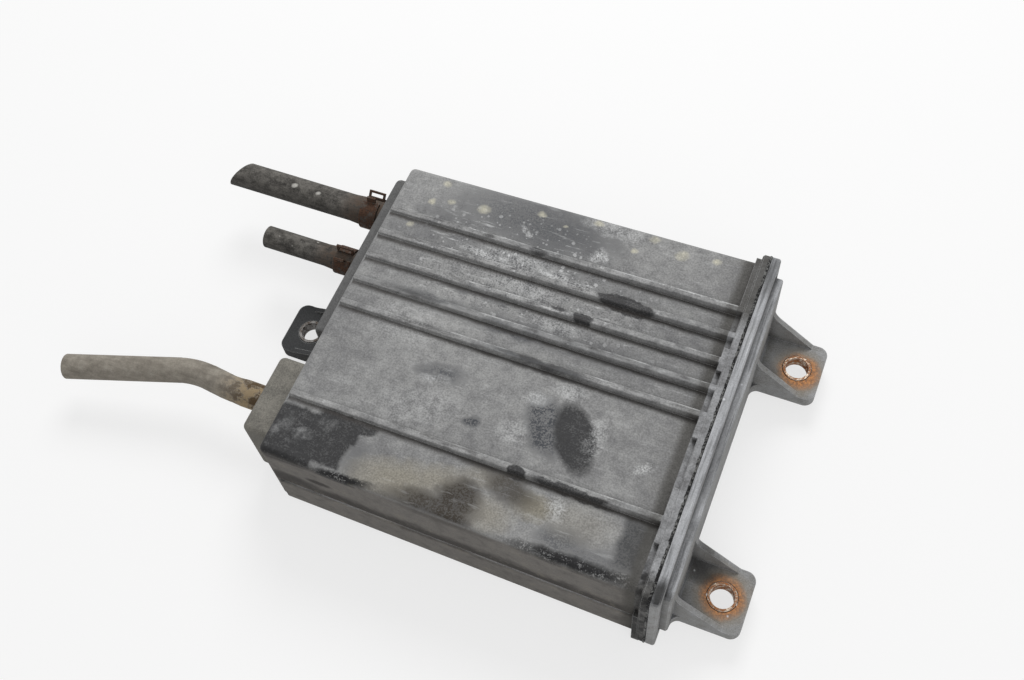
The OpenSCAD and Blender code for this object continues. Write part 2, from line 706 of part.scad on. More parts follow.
module second_pressure_plate() color("lightgray") in_frame() {
    difference() {
        chamber_block(fill_room) second_plan(plate_x, plate_x + plate_t, fill_room);
        plate_holes(second_mid_y, inner_half_w(plate_x) + second_edge_y);
    }
    plate_seat(spring_ys[2]);
}

// Coil spring along X between two planes, with a closed turn at each end
module coil(x0, x1) {
    steps = 14;
    sides = 8;
    wire_r = spring_wire / 2;
    last = steps * spring_turns;
    travel = x1 - x0 - 3 * spring_wire;
    function lift(turn) = x0 + wire_r + spring_wire * min(turn, 1)
        + travel * min(max(turn - 1, 0), spring_turns - 2) / (spring_turns - 2)
        + spring_wire * max(turn - spring_turns + 1, 0);
    function ring_point(step, side) = let (a = 360 * step / steps, b = 360 * side / sides,
        r = spring_d / 2 + wire_r * cos(b)) [lift(step / steps) + wire_r * sin(b), r * cos(a), r * sin(a)];
    points = [for (s = [0:last], k = [0:sides - 1]) ring_point(s, k)];
    walls = [for (s = [0:last - 1], k = [0:sides - 1])
        [s * sides + k, s * sides + (k + 1) % sides, (s + 1) * sides + (k + 1) % sides, (s + 1) * sides + k]];
    caps = [[for (k = [sides - 1:-1:0]) k], [for (k = [0:sides - 1]) last * sides + k]];
    polyhedron(points, concat(walls, caps));
}

module spring_at(y) color("silver") in_frame() translate([0, y, 0]) coil(plate_x + plate_t, cover_inner_x);
module main_spring_back() spring_at(spring_ys[0]);
module main_spring_front() spring_at(spring_ys[1]);
module second_spring() spring_at(spring_ys[2]);

casing();
end_cover();
drain_box();
drain_filter();
back_cover_collar();
front_cover_collar();
end_lug_collar();
tank_hose();
purge_hose();
drain_hose();
tank_hose_clamp();
purge_hose_clamp();
main_carbon_bed();
second_carbon_bed();
main_port_filter();
second_port_filter();
main_cover_filter();
second_cover_filter();
main_pressure_plate();
second_pressure_plate();
main_spring_back();
main_spring_front();
second_spring();
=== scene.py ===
"""Looks of a used charcoal canister: weathered plastic, rubber hoses, rusty steel and a soft studio.

Sizes in this script are in millimetres, in the canister's own frame, unless a name says otherwise.
"""
from __future__ import annotations

import logging
import math
from dataclasses import dataclass
from enum import Enum
from typing import Any, Iterable, Optional, Union

import bmesh
import bpy
from mathutils import Matrix, Vector, noise


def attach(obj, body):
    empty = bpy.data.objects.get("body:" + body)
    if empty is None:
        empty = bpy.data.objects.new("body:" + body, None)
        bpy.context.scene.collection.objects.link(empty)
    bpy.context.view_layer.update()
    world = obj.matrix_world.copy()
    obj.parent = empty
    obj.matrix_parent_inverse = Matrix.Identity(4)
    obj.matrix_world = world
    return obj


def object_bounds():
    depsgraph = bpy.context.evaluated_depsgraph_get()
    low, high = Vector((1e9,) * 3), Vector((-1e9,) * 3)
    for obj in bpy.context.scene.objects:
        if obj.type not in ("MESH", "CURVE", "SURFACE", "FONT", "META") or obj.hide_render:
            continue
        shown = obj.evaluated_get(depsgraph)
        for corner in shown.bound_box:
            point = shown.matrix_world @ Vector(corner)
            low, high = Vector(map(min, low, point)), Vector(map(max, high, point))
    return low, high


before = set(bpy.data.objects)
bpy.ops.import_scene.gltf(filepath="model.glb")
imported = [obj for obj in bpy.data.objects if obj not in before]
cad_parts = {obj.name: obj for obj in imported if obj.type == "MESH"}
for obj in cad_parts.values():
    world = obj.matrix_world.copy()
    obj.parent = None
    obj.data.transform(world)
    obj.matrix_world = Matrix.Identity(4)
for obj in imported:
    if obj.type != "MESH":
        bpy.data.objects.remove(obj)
CAD_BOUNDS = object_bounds()

log = logging.getLogger("canister")

# Millimetre in metres, and the name of the part's body
MM = 0.001
BODY = "root"

# Shading values that the finishes share
WHITE = (1.0, 1.0, 1.0)
UNSTRETCHED = (1.0, 1.0, 1.0)
SPECULAR_LEVEL = 0.25
BEVEL_SAMPLES = 5
CREASE_SAMPLES = 6
EDGE_TURN = (0.995, 0.86)
RIPPLE_RATE = 0.14

# About how far the edges of patches wander
SLIGHT = 1.2
UNEVEN = 2.0

# Radii that round the shading of edges
MOULDED_R = 0.6
RUBBER_R = 0.4
STEEL_R = 0.35
GRAIN_R = 0.2

Span = tuple[float, float]
Triple = tuple[float, float, float]
Colour = Triple
Edges = list[bmesh.types.BMEdge]
Value = Union["Wire", float, int, tuple]


def tone(red: int, green: int, blue: int) -> Colour:
    """Gives the linear colour of a screen colour.

    Args:
        red: Red from 0 to 255.
        green: Green from 0 to 255.
        blue: Blue from 0 to 255.

    Returns:
        The colour in linear light.
    """
    def linear(level: int) -> float:
        """Turns one screen level into linear light."""
        share = level / 255.0
        return share / 12.92 if share <= 0.04045 else ((share + 0.055) / 1.055) ** 2.4

    return linear(red), linear(green), linear(blue)


class Wire:
    """One output of a tree's nodes, with arithmetic that adds Math nodes."""

    def __init__(self, tree: Nodes, socket: bpy.types.NodeSocket) -> None:
        """Keeps the tree that the socket belongs to."""
        self.tree = tree
        self.socket = socket

    def _math(self, operation: str, first: Value, second: Value) -> Wire:
        """Adds one Math node."""
        return self.tree.node("ShaderNodeMath", {"operation": operation}, {0: first, 1: second})

    def __add__(self, other: Value) -> Wire:
        """Adds a value."""
        return self._math("ADD", self, other)

    def __radd__(self, other: Value) -> Wire:
        """Adds this wire to a value."""
        return self._math("ADD", other, self)

    def __sub__(self, other: Value) -> Wire:
        """Takes a value away."""
        return self._math("SUBTRACT", self, other)

    def __rsub__(self, other: Value) -> Wire:
        """Takes this wire away from a value."""
        return self._math("SUBTRACT", other, self)

    def __mul__(self, other: Value) -> Wire:
        """Multiplies by a value."""
        return self._math("MULTIPLY", self, other)

    def __rmul__(self, other: Value) -> Wire:
        """Multiplies a value by this wire."""
        return self._math("MULTIPLY", other, self)

    def __truediv__(self, other: Value) -> Wire:
        """Divides by a value."""
        return self._math("DIVIDE", self, other)

    def __rtruediv__(self, other: Value) -> Wire:
        """Divides a value by this wire."""
        return self._math("DIVIDE", other, self)

    def __or__(self, other: Value) -> Wire:
        """Gives the larger of two masks."""
        return self._math("MAXIMUM", self, other)

    def __ror__(self, other: Value) -> Wire:
        """Gives the larger of a value and this mask."""
        return self._math("MAXIMUM", other, self)

    def linear(self, scale: Value, shift: Value, clamp: bool = False) -> Wire:
        """Gives this wire times a scale plus a shift, kept between 0 and 1 where it is clamped."""
        settings = {"operation": "MULTIPLY_ADD", "use_clamp": clamp}
        return self.tree.node("ShaderNodeMath", settings, {0: self, 1: scale, 2: shift})

    def size(self) -> Wire:
        """Gives this wire without its sign."""
        return self.tree.node("ShaderNodeMath", {"operation": "ABSOLUTE"}, {0: self})

    def step(self, low: float, high: float) -> Wire:
        """Gives a soft step from 0 at low to 1 at high."""
        sockets = {"Value": self, "From Min": low, "From Max": high}
        return self.tree.node("ShaderNodeMapRange", {"interpolation_type": "SMOOTHSTEP"}, sockets)


class Side(Enum):
    """Sides that marks are seen from, with the axis that runs across each."""

    TOP = "Y"
    FRONT = "Z"


@dataclass(frozen=True)
class Blot:
    """Soft-edged patch on a face: middle, half sizes, turn, strength, feather, and whether it is boxy."""

    x: float
    y: float
    half_x: float
    half_y: float
    turn: float = 0.0
    strength: float = 1.0
    feather: float = 0.3
    boxy: bool = False


class Nodes:
    """Nodes of a material or of the world, with the output that they feed."""

    def __init__(self, owner: Union[bpy.types.Material, bpy.types.World], output: str) -> None:
        """Clears the owner's nodes and adds its output.

        Args:
            owner: Material or world that the nodes belong to.
            output: Type of its output node.
        """
        owner.use_nodes = True
        self.nodes = owner.node_tree.nodes
        self.links = owner.node_tree.links
        self.nodes.clear()
        self.output = self.nodes.new(output)

    def node(self, kind: str, settings: dict[str, Any], sockets: dict[Any, Value], output: Any = 0) -> Wire:
        """Adds one node.

        Args:
            kind: Type of the node.
            settings: Values of the node's own fields, set first.
            sockets: Values or wires of the node's inputs, by name or number.
            output: Name or number of the output that is wanted.

        Returns:
            The wire of that output.
        """
        made = self.nodes.new(kind)
        for key, setting in settings.items():
            setattr(made, key, setting)
        for key, value in sockets.items():
            self.feed(made.inputs[key], value)
        return Wire(self, made.outputs[output])

    def feed(self, socket: bpy.types.NodeSocket, value: Value) -> None:
        """Sets or links one input.

        Args:
            socket: Input to feed.
            value: Wire, number or tuple of numbers. A colour may leave its alpha out.
        """
        if isinstance(value, Wire):
            self.links.new(value.socket, socket)
            return
        if isinstance(value, tuple) and socket.type == "RGBA" and len(value) == 3:
            value = (*value, 1.0)
        socket.default_value = value

    def background_rays(self) -> Wire:
        """Tells the rays that should see a white background from those that light the part.

        Returns:
            1 for rays of the camera, and of gloss and glass, and 0 for others.
        """
        names = ("Is Camera Ray", "Is Glossy Ray", "Is Transmission Ray")
        straight, glossy, clear = (self.node("ShaderNodeLightPath", {}, {}, name) for name in names)
        return straight | glossy | clear


class Tree(Nodes):
    """Node tree of one material."""

    def __init__(self, name: str) -> None:
        """Starts a material with one shader.

        Args:
            name: Name of the material.
        """
        self.material = bpy.data.materials.new(name)
        super().__init__(self.material, "ShaderNodeOutputMaterial")
        self.surface = self.node("ShaderNodeBsdfPrincipled", {}, {})
        self.shader = self.surface.socket.node
        self.feed(self.output.inputs["Surface"], self.surface)
        place = self.node("ShaderNodeTexCoord", {}, {}, "Object")
        self.place = self.vector("SCALE", {0: place, "Scale": 1.0 / MM})
        self.ripples: dict[float, Wire] = {}
        self.normals: dict[float, Wire] = {}

    def vector(self, operation: str, sockets: dict[Any, Value], output: Any = 0) -> Wire:
        """Adds one Vector Math node."""
        return self.node("ShaderNodeVectorMath", {"operation": operation}, sockets, output)

    def blend(self, factor: Value, first: Value, second: Value) -> Wire:
        """Mixes two colours, from the first at 0 to the second at 1."""
        return self.node("ShaderNodeMix", {"data_type": "RGBA"}, {0: factor, 6: first, 7: second}, 2)

    def shade(self, colour: Wire, factor: Value) -> Wire:
        """Multiplies a colour by a grey factor."""
        return self.vector("SCALE", {0: colour, "Scale": factor})

    def grain(
        self, size: float, detail: float = 3.0, rough: float = 0.55, stretch: Triple = UNSTRETCHED
    ) -> Wire:
        """Gives noise about 0.5.

        Args:
            size: Size of its largest marks.
            detail: Number of finer layers.
            rough: Share of each finer layer.
            stretch: How much longer the marks are along each axis.

        Returns:
            The noise from about 0.2 to 0.8.
        """
        place = self.place
        if stretch != UNSTRETCHED:
            sockets = {"Vector": place, "Scale": stretch}
            place = self.node("ShaderNodeMapping", {"vector_type": "TEXTURE"}, sockets)
        sockets = {"Vector": place, "Scale": 1.0 / size, "Detail": detail, "Roughness": rough}
        return self.node("ShaderNodeTexNoise", {}, sockets)

    def rippled(self, wobble: float) -> Wire:
        """Gives the place, pushed about by noise so that patches get uneven edges.

        Args:
            wobble: About how far a place is pushed.

        Returns:
            The pushed place.
        """
        if wobble not in self.ripples:
            sockets = {"Vector": self.place, "Scale": RIPPLE_RATE, "Detail": 5.0, "Roughness": 0.68}
            push = self.node("ShaderNodeTexNoise", {}, sockets, "Color")
            middle = self.vector("SUBTRACT", {0: push, 1: (0.5, 0.5, 0.5)})
            far = self.vector("SCALE", {0: middle, "Scale": 4.0 * wobble})
            self.ripples[wobble] = self.vector("ADD", {0: self.place, 1: far})
        return self.ripples[wobble]

    def blots(self, patches: Iterable[Blot], wobble: float, side: Side = Side.TOP) -> Wire:
        """Gives the mask of several patches.

        Only Math nodes are used, because the renderer keeps few values at once and works through nodes of
        one kind in order: patches made of vectors overfill it.

        Args:
            patches: Patches to join.
            wobble: Unevenness of their edges.
            side: Side that they are seen from. From the front, their second place and size are upright.

        Returns:
            The mask, from 0 outside to each patch's strength inside.
        """
        along = self.node("ShaderNodeSeparateXYZ", {}, {0: self.rippled(wobble)}, "X")
        across = self.node("ShaderNodeSeparateXYZ", {}, {0: self.rippled(wobble)}, side.value)
        joined: Optional[Wire] = None
        for patch in patches:
            cosine = math.cos(math.radians(patch.turn))
            sine = math.sin(math.radians(patch.turn))
            ahead = along.linear(cosine / patch.half_x, -(patch.x * cosine + patch.y * sine) / patch.half_x)
            aside = across.linear(cosine / patch.half_y, (patch.x * sine - patch.y * cosine) / patch.half_y)
            if patch.turn:
                ahead = across.linear(sine / patch.half_x, ahead)
                aside = along.linear(-sine / patch.half_y, aside)
            far = 1.0 + patch.feather
            near = 1.0 - patch.feather
            if patch.boxy:
                reach = ahead.size() | aside.size()
            else:
                reach = aside.linear(aside, ahead * ahead)
                far = far * far
                near = near * near
            mask = reach.linear(-1.0 / (far - near), far / (far - near), True) * patch.strength
            joined = mask if joined is None else joined | mask
        return joined

    def axis(self, name: str) -> Wire:
        """Gives the place along one axis, X, Y or Z."""
        return self.node("ShaderNodeSeparateXYZ", {}, {0: self.place}, name)

    def facing(self, name: str) -> Wire:
        """Gives how far a face looks along one axis, X, Y or Z, from -1 to 1."""
        normal = self.node("ShaderNodeNewGeometry", {}, {}, "Normal")
        return self.node("ShaderNodeSeparateXYZ", {}, {0: normal}, name)

    def soft_normal(self, radius: float) -> Wire:
        """Gives the normal with rounded edges.

        Args:
            radius: Radius of the rounding.

        Returns:
            The rounded normal.
        """
        if radius not in self.normals:
            settings = {"samples": BEVEL_SAMPLES}
            self.normals[radius] = self.node("ShaderNodeBevel", settings, {"Radius": radius * MM}, "Normal")
        return self.normals[radius]

    def edges(self, radius: float) -> Wire:
        """Gives a mask of the edges.

        Args:
            radius: About how wide the edges show.

        Returns:
            The mask.
        """
        sharp = self.node("ShaderNodeNewGeometry", {}, {}, "Normal")
        turned = self.vector("DOT_PRODUCT", {0: self.soft_normal(radius), 1: sharp}, "Value")
        return turned.step(*EDGE_TURN)

    def creases(self, depth: float) -> Wire:
        """Gives a mask of inner corners and gaps, felt up to a distance."""
        settings = {"samples": CREASE_SAMPLES, "only_local": True}
        return 1.0 - self.node("ShaderNodeAmbientOcclusion", settings, {"Distance": depth * MM}, "AO")

    def specks(self, spacing: float, size: float, share: float) -> Wire:
        """Gives a mask of round specks.

        Args:
            spacing: Distance between the places where a speck can be.
            size: Largest radius of a speck.
            share: Share of these places that have one.

        Returns:
            The mask of the specks.
        """
        sockets = {"Vector": self.rippled(0.35), "Scale": 1.0 / spacing, "Randomness": 1.0}
        reach = self.node("ShaderNodeTexVoronoi", {}, sockets, "Distance")
        chance = self.node("ShaderNodeTexVoronoi", {}, sockets, "Color")
        draw = self.node("ShaderNodeSeparateColor", {}, {0: chance}, "Red")
        limit = size / spacing * (draw.step(1.0 - share, 1.0) * 0.7 + 0.3)
        return (reach - limit).step(0.06, -0.04) * draw.step(1.0 - share - 0.01, 1.0 - share + 0.01)

    def finish(self, colour: Wire, rough: Value, relief: Wire, relief_depth: float, soft: float) -> None:
        """Feeds the shader.

        Args:
            colour: Base colour.
            rough: Roughness.
            relief: Height of the surface's relief, from 0 to 1.
            relief_depth: Height of that relief at 1.
            soft: Radius that rounds the edges' shading.
        """
        self.shader.inputs["Specular IOR Level"].default_value = SPECULAR_LEVEL
        self.feed(self.shader.inputs["Base Color"], colour)
        self.feed(self.shader.inputs["Roughness"], rough)
        sockets = {"Distance": relief_depth * MM, "Height": relief, "Normal": self.soft_normal(soft)}
        self.feed(self.shader.inputs["Normal"], self.node("ShaderNodeBump", {}, sockets))


@dataclass(frozen=True)
class Finish:
    """Finish of one kind of surface. A pair of places runs from where a mark starts to where it is full."""

    name: str

    def paint(self, tree: Tree) -> None:
        """Adds the finish's nodes to a tree.

        Args:
            tree: Tree of the material.
        """
        raise NotImplementedError

    def material(self) -> bpy.types.Material:
        """Makes the material.

        Returns:
            The new material.
        """
        tree = Tree(self.name)
        self.paint(tree)
        return tree.material


@dataclass(frozen=True)
class CasingPlastic(Finish):
    """Grey moulded plastic under years of dust, wiped dark in places and stained brown, with painted shade
    in its creases, along the flange and above the side bands, and painted shadows and highlights along its
    ribs.
    """

    name: str = "weathered_casing"
    aged: Colour = tone(114, 114, 115)
    dust: Colour = tone(164, 164, 163)
    wiped: Colour = tone(53, 53, 54)
    bluish: Colour = tone(70, 72, 76)
    black: Colour = tone(26, 26, 27)
    brown: Colour = tone(62, 57, 51)
    beige: Colour = tone(150, 145, 133)
    ochre: Colour = tone(136, 130, 114)
    lichen: Colour = tone(206, 202, 182)
    pale: Colour = tone(206, 207, 207)
    wall: Colour = tone(112, 108, 103)
    # Dark grime colour, also used for painted shade in creases and above the side bands, and for painted
    # shadow at the ribs' front feet.
    soot_and_shade: Colour = tone(58, 55, 53)
    # Soil colour, also used for painted shade along the flange.
    soil_and_shade: Colour = tone(72, 70, 66)
    flange: Colour = tone(162, 163, 165)
    pad: Colour = tone(74, 74, 74)
    lug: Colour = tone(60, 61, 62)
    top_z: float = 48.6
    flange_x: float = -33.0
    pad_x: float = -211.3
    lug_x: float = -219.0
    lug_z: float = 16.0
    band_z: float = 17.6
    first_rib_y: float = 56.0
    rib_pitch: float = 14.25
    drain_rib_y: float = -53.0
    rib_foot: float = 2.7
    rib_group_front_y: Span = (-8.2, -8.0)
    rib_group_back_y: Span = (63.1, 62.9)
    # Stretch along the part where the ribs get painted highlights on their back edges and rubbed wear on
    # their tops.
    rubbed_and_highlit_x: Span = (-230.0, -110.0)
    soil_and_shade_x: Span = (-50.0, -34.0)
    gap_x: Span = (-39.0, -33.5)
    soiled_back_y: Span = (40.0, 58.0)
    soiled_front_y: Span = (-74.0, -84.0)
    smeared_y: Span = (-66.0, -80.0)
    ochre_stain: Blot = Blot(-86.0, -66.0, 7.0, 5.0, 0.0, 0.75, 0.6)
    scuffed_part: Blot = Blot(-132.0, 42.0, 44.0, 22.0, -6.0, 1.0, 0.7)

    def wiped_patches(self) -> list[Blot]:
        """Lists the patches where the dust has been wiped off."""
        return [
            Blot(-199.0, -71.2, 13.5, 12.8, 0.0, 1.0, 0.07, True),
            Blot(-181.0, -61.3, 11.0, 5.8, -3.0, 1.0, 0.1, True),
            Blot(-170.5, -58.8, 7.0, 3.4, 8.0, 1.0, 0.15),
            Blot(-182.0, -71.5, 9.5, 9.0, 0.0, 1.0, 0.1, True),
            Blot(-80.5, -30.0, 17.0, 9.0, -61.0, 1.0, 0.15),
            Blot(-82.0, 41.6, 14.0, 4.4, -5.0, 1.0, 0.08),
            Blot(-98.0, 28.0, 5.4, 2.9, -5.0, 1.0, 0.1),
            Blot(-110.0, 28.6, 3.8, 1.8, -4.0, 0.9, 0.2),
            Blot(-98.0, -54.5, 4.4, 3.0, -10.0, 1.0, 0.1),
            Blot(-72.0, -55.0, 18.0, 1.7, -3.0, 0.95, 0.15),
            Blot(-41.5, -66.0, 5.0, 12.0, 0.0, 0.45, 0.4, True),
            Blot(-106.0, -1.6, 18.0, 1.7, -1.0, 0.75, 0.4),
            Blot(-165.0, -0.8, 12.0, 1.3, 0.0, 0.6, 0.5),
            Blot(-177.0, 13.4, 13.0, 1.2, 0.0, 0.6, 0.5),
            Blot(-131.0, 55.6, 4.0, 1.6, 0.0, 0.8, 0.3),
            Blot(-157.0, 56.0, 3.0, 1.2, 0.0, 0.7, 0.3),
        ]

    def faint_patches(self) -> list[Blot]:
        """Lists the darker stretches that show through the dust in grains."""
        return [
            Blot(-95.0, -29.0, 14.5, 7.6, -61.0, 1.0, 0.3),
            Blot(-126.2, -38.4, 3.4, 2.8, 20.0, 1.0, 0.4),
            Blot(-149.0, -20.6, 9.0, 3.6, 8.0, 0.85, 0.6),
            Blot(-128.0, 10.4, 16.0, 2.2, -1.0, 0.9, 0.5),
            Blot(-112.0, -2.2, 24.0, 2.4, -1.0, 0.95, 0.4),
            Blot(-168.0, 14.5, 16.0, 2.0, -1.0, 0.8, 0.5),
            Blot(-150.0, 24.6, 16.0, 1.8, 0.0, 0.7, 0.6),
            Blot(-139.0, 71.0, 32.0, 11.0, -3.0, 0.8, 0.7),
            Blot(-120.0, 13.0, 62.0, 4.6, 0.0, 0.4, 0.6),
            Blot(-140.0, 49.0, 52.0, 4.6, 0.0, 0.3, 0.7),
            Blot(-176.0, 62.0, 16.0, 4.0, 0.0, 0.45, 0.8),
            Blot(-41.0, -68.0, 5.5, 12.0, 0.0, 0.9, 0.3, True),
            Blot(-70.0, -76.0, 8.0, 4.6, 10.0, 0.8, 0.7),
            Blot(-56.0, -79.0, 16.0, 3.4, 4.0, 0.6, 0.8),
            Blot(-168.0, -72.0, 5.0, 7.0, 0.0, 0.45, 0.5, True),
        ]

    def brown_patches(self) -> list[Blot]:
        """Lists the brown stains."""
        return [
            Blot(-117.0, -74.0, 9.5, 8.6, 20.0, 1.0, 0.35),
            Blot(-128.0, -80.2, 18.0, 4.8, 5.0, 0.95, 0.5),
            Blot(-118.0, -82.0, 9.5, 4.0, 0.0, 1.0, 0.4),
            Blot(-98.5, -61.5, 11.0, 6.0, -18.0, 0.85, 0.45),
            Blot(-110.0, -56.8, 10.0, 2.0, -3.0, 0.7, 0.6),
        ]

    def beige_patches(self) -> list[Blot]:
        """Lists the pale mud round the brown stains."""
        return [
            Blot(-146.0, -75.0, 16.0, 7.0, 12.0, 0.85, 0.7),
            Blot(-131.0, -69.5, 12.0, 5.0, 18.0, 0.75, 0.7),
            Blot(-103.0, -76.0, 8.0, 6.0, 0.0, 0.65, 0.7),
            Blot(-112.0, -62.0, 9.0, 3.6, 10.0, 0.5, 0.7),
            Blot(-66.0, -66.0, 12.0, 6.0, 0.0, 0.35, 0.8),
        ]

    def haze_patches(self) -> list[Blot]:
        """Lists the pale crusts and smudges."""
        return [
            Blot(-103.0, -17.6, 4.2, 2.6, 10.0, 0.75, 0.7),
            Blot(-150.0, -23.6, 4.5, 1.8, 8.0, 0.7, 0.8),
            Blot(-90.0, -9.5, 5.0, 2.8, 0.0, 0.6, 0.9),
            Blot(-71.5, -27.0, 2.6, 7.5, 0.0, 0.5, 0.9),
            Blot(-107.0, -36.0, 4.2, 4.2, 0.0, 0.55, 0.9),
            Blot(-47.0, -33.0, 4.5, 1.8, 34.0, 0.9, 0.6),
            Blot(-76.5, -63.5, 3.4, 3.6, 0.0, 0.8, 0.8),
            Blot(-155.0, 46.0, 11.0, 1.4, -6.0, 0.95, 0.6),
            Blot(-119.0, 46.0, 7.0, 1.7, -4.0, 0.95, 0.6),
            Blot(-138.0, 48.5, 12.0, 4.0, -4.0, 0.6, 0.9),
            Blot(-103.0, 63.5, 3.4, 3.0, 30.0, 0.95, 0.6),
            Blot(-141.0, 65.5, 3.2, 1.2, -30.0, 0.9, 0.6),
            Blot(-106.0, 44.0, 5.0, 2.0, -4.0, 0.7, 0.8),
            Blot(-130.0, 35.0, 12.0, 3.0, -3.0, 0.5, 0.9),
            Blot(-101.0, 80.5, 10.0, 3.0, -3.0, 0.6, 0.9),
            Blot(-108.0, 20.0, 8.0, 2.6, 0.0, 0.45, 0.9),
            Blot(-60.0, 57.6, 24.0, 0.9, 0.0, 0.9, 0.5),
            Blot(-152.0, -40.0, 12.0, 6.0, 20.0, 0.3, 0.9),
            Blot(-176.0, -2.0, 12.0, 7.0, 0.0, 0.25, 0.9),
        ]

    def smudges(self) -> list[Blot]:
        """Lists the thin pale smears inside the wiped corner."""
        return [
            Blot(-194.5, -70.5, 3.0, 2.2, 30.0, 0.3, 0.9),
            Blot(-204.0, -66.5, 2.2, 4.0, 20.0, 0.2, 0.9),
            Blot(-207.0, -71.5, 1.6, 3.2, 0.0, 0.16, 0.9),
            Blot(-188.0, -62.0, 5.0, 2.0, -6.0, 0.08, 0.9),
        ]

    def wall_patches(self) -> list[Blot]:
        """Lists the dark marks on the front wall, by their place along it and their height."""
        return [
            Blot(-200.0, 25.5, 11.0, 3.6, 0.0, 0.85, 0.5),
            Blot(-184.0, 32.0, 5.5, 2.2, 0.0, 0.95, 0.35),
            Blot(-174.0, 22.5, 10.0, 2.2, 0.0, 0.6, 0.6),
            Blot(-204.0, 46.0, 14.0, 3.0, 0.0, 0.8, 0.5),
            Blot(-121.0, 45.0, 16.0, 2.6, 0.0, 0.55, 0.7),
        ]

    def lichen_spots(self) -> list[Blot]:
        """Lists the lichen spots along the back strip."""
        places = [
            (-189.0, 79.0, 2.2), (-166.0, 70.4, 3.0), (-192.0, 66.0, 1.8), (-183.0, 69.4, 1.6),
            (-137.5, 77.4, 2.0), (-109.5, 81.6, 2.2), (-81.2, 81.6, 2.6), (-66.0, 77.0, 3.0),
            (-197.0, 50.4, 2.0), (-88.0, 72.0, 1.6), (-49.5, 79.2, 1.8), (-124.0, 74.5, 1.0),
        ]
        return [Blot(x, y, 0.75 * radius, 0.62 * radius, 25.0, 0.75, 0.75) for x, y, radius in places]

    def paint(self, tree: Tree) -> None:
        """Adds the finish's nodes to a tree.

        Args:
            tree: Tree of the material.
        """
        height = tree.axis("Z")
        up = tree.facing("Z").step(0.3, 0.8)
        wall = tree.facing("Y").size().step(0.45, 0.8) * height.step(self.top_z - 0.5, self.top_z - 3.0)
        fine = tree.grain(0.8, 2.0, 0.62)
        mottle = tree.grain(7.0, 6.0, 0.66)
        cloud = tree.grain(60.0, 3.0)
        drawn = tree.grain(2.0, 5.0, 0.66, (7.0, 1.0, 1.0))
        broken = (0.75 * fine + 0.45 * mottle).step(0.5, 0.68)
        colour = tree.blend((0.6 * cloud + 0.7 * mottle - 0.15).step(0.2, 0.8), self.aged, self.dust)
        colour = tree.blend(wall * 0.85, colour, self.wall)
        faint = tree.blots(self.faint_patches(), UNEVEN) * up
        colour = tree.blend(faint * (0.25 + 0.75 * broken), colour, self.bluish)
        colour = tree.blend(tree.blots(self.beige_patches(), UNEVEN) * up, colour, self.beige)
        colour = tree.blend(tree.blots([self.ochre_stain], UNEVEN) * up, colour, self.ochre)
        brown = tree.blots(self.brown_patches(), UNEVEN) * up
        colour = tree.blend(brown * (0.68 + 0.32 * broken), colour, self.brown)
        wiped = tree.blots(self.wiped_patches(), SLIGHT) * tree.facing("Z").step(-0.1, 0.3)
        colour = tree.blend(wiped * (1.0 - 0.16 * (fine + mottle).step(0.95, 1.25)), colour, self.wiped)
        strip = self.strip_mask(tree, height)
        gritty = (0.6 * fine + 0.5 * mottle).step(0.58, 0.68)
        colour = tree.blend(strip * (1.0 - 0.75 * gritty), colour, self.black)
        colour = self.pale_marks(tree, colour, (fine, mottle, drawn, up, wiped))
        colour = self.wall_marks(tree, colour, (height, mottle, fine, wall))
        colour = self.regions(tree, colour, (height, mottle, cloud))
        colour = self.rib_marks(tree, colour, (height, mottle, drawn, wiped))
        # Painted shade: inner corners and creases are darkened by their occlusion.
        crease_shade = tree.creases(3.5).step(0.16, 0.7)
        colour = tree.blend(crease_shade * 0.7, colour, self.soot_and_shade)
        worn = tree.edges(MOULDED_R) * (0.25 + 0.75 * drawn) * (1.0 - (wiped * 0.9 | crease_shade))
        colour = tree.blend(worn * 0.7, colour, self.pale)
        colour = tree.shade(colour, 0.42 + 1.16 * fine)
        rough = 0.84 - 0.2 * (wiped | strip)
        tree.finish(colour, rough, 0.5 * mottle + 0.5 * fine, relief_depth=0.16, soft=MOULDED_R)

    def strip_mask(self, tree: Tree, height: Wire) -> Wire:
        """Gives the mask of the black rubbed stretches of the front top edge.

        Args:
            tree: Tree of the material.
            height: Height of each point.

        Returns:
            The mask.
        """
        stretches = [
            Blot(-60.0, -83.2, 26.0, 2.6, 0.5, 1.0, 0.4),
            Blot(-171.0, -83.4, 14.0, 2.0, 6.0, 1.0, 0.4),
            Blot(-201.0, -83.6, 12.0, 2.0, 0.0, 0.8, 0.6),
        ]
        return tree.blots(stretches, SLIGHT) * height.step(self.top_z - 6.0, self.top_z - 3.5)

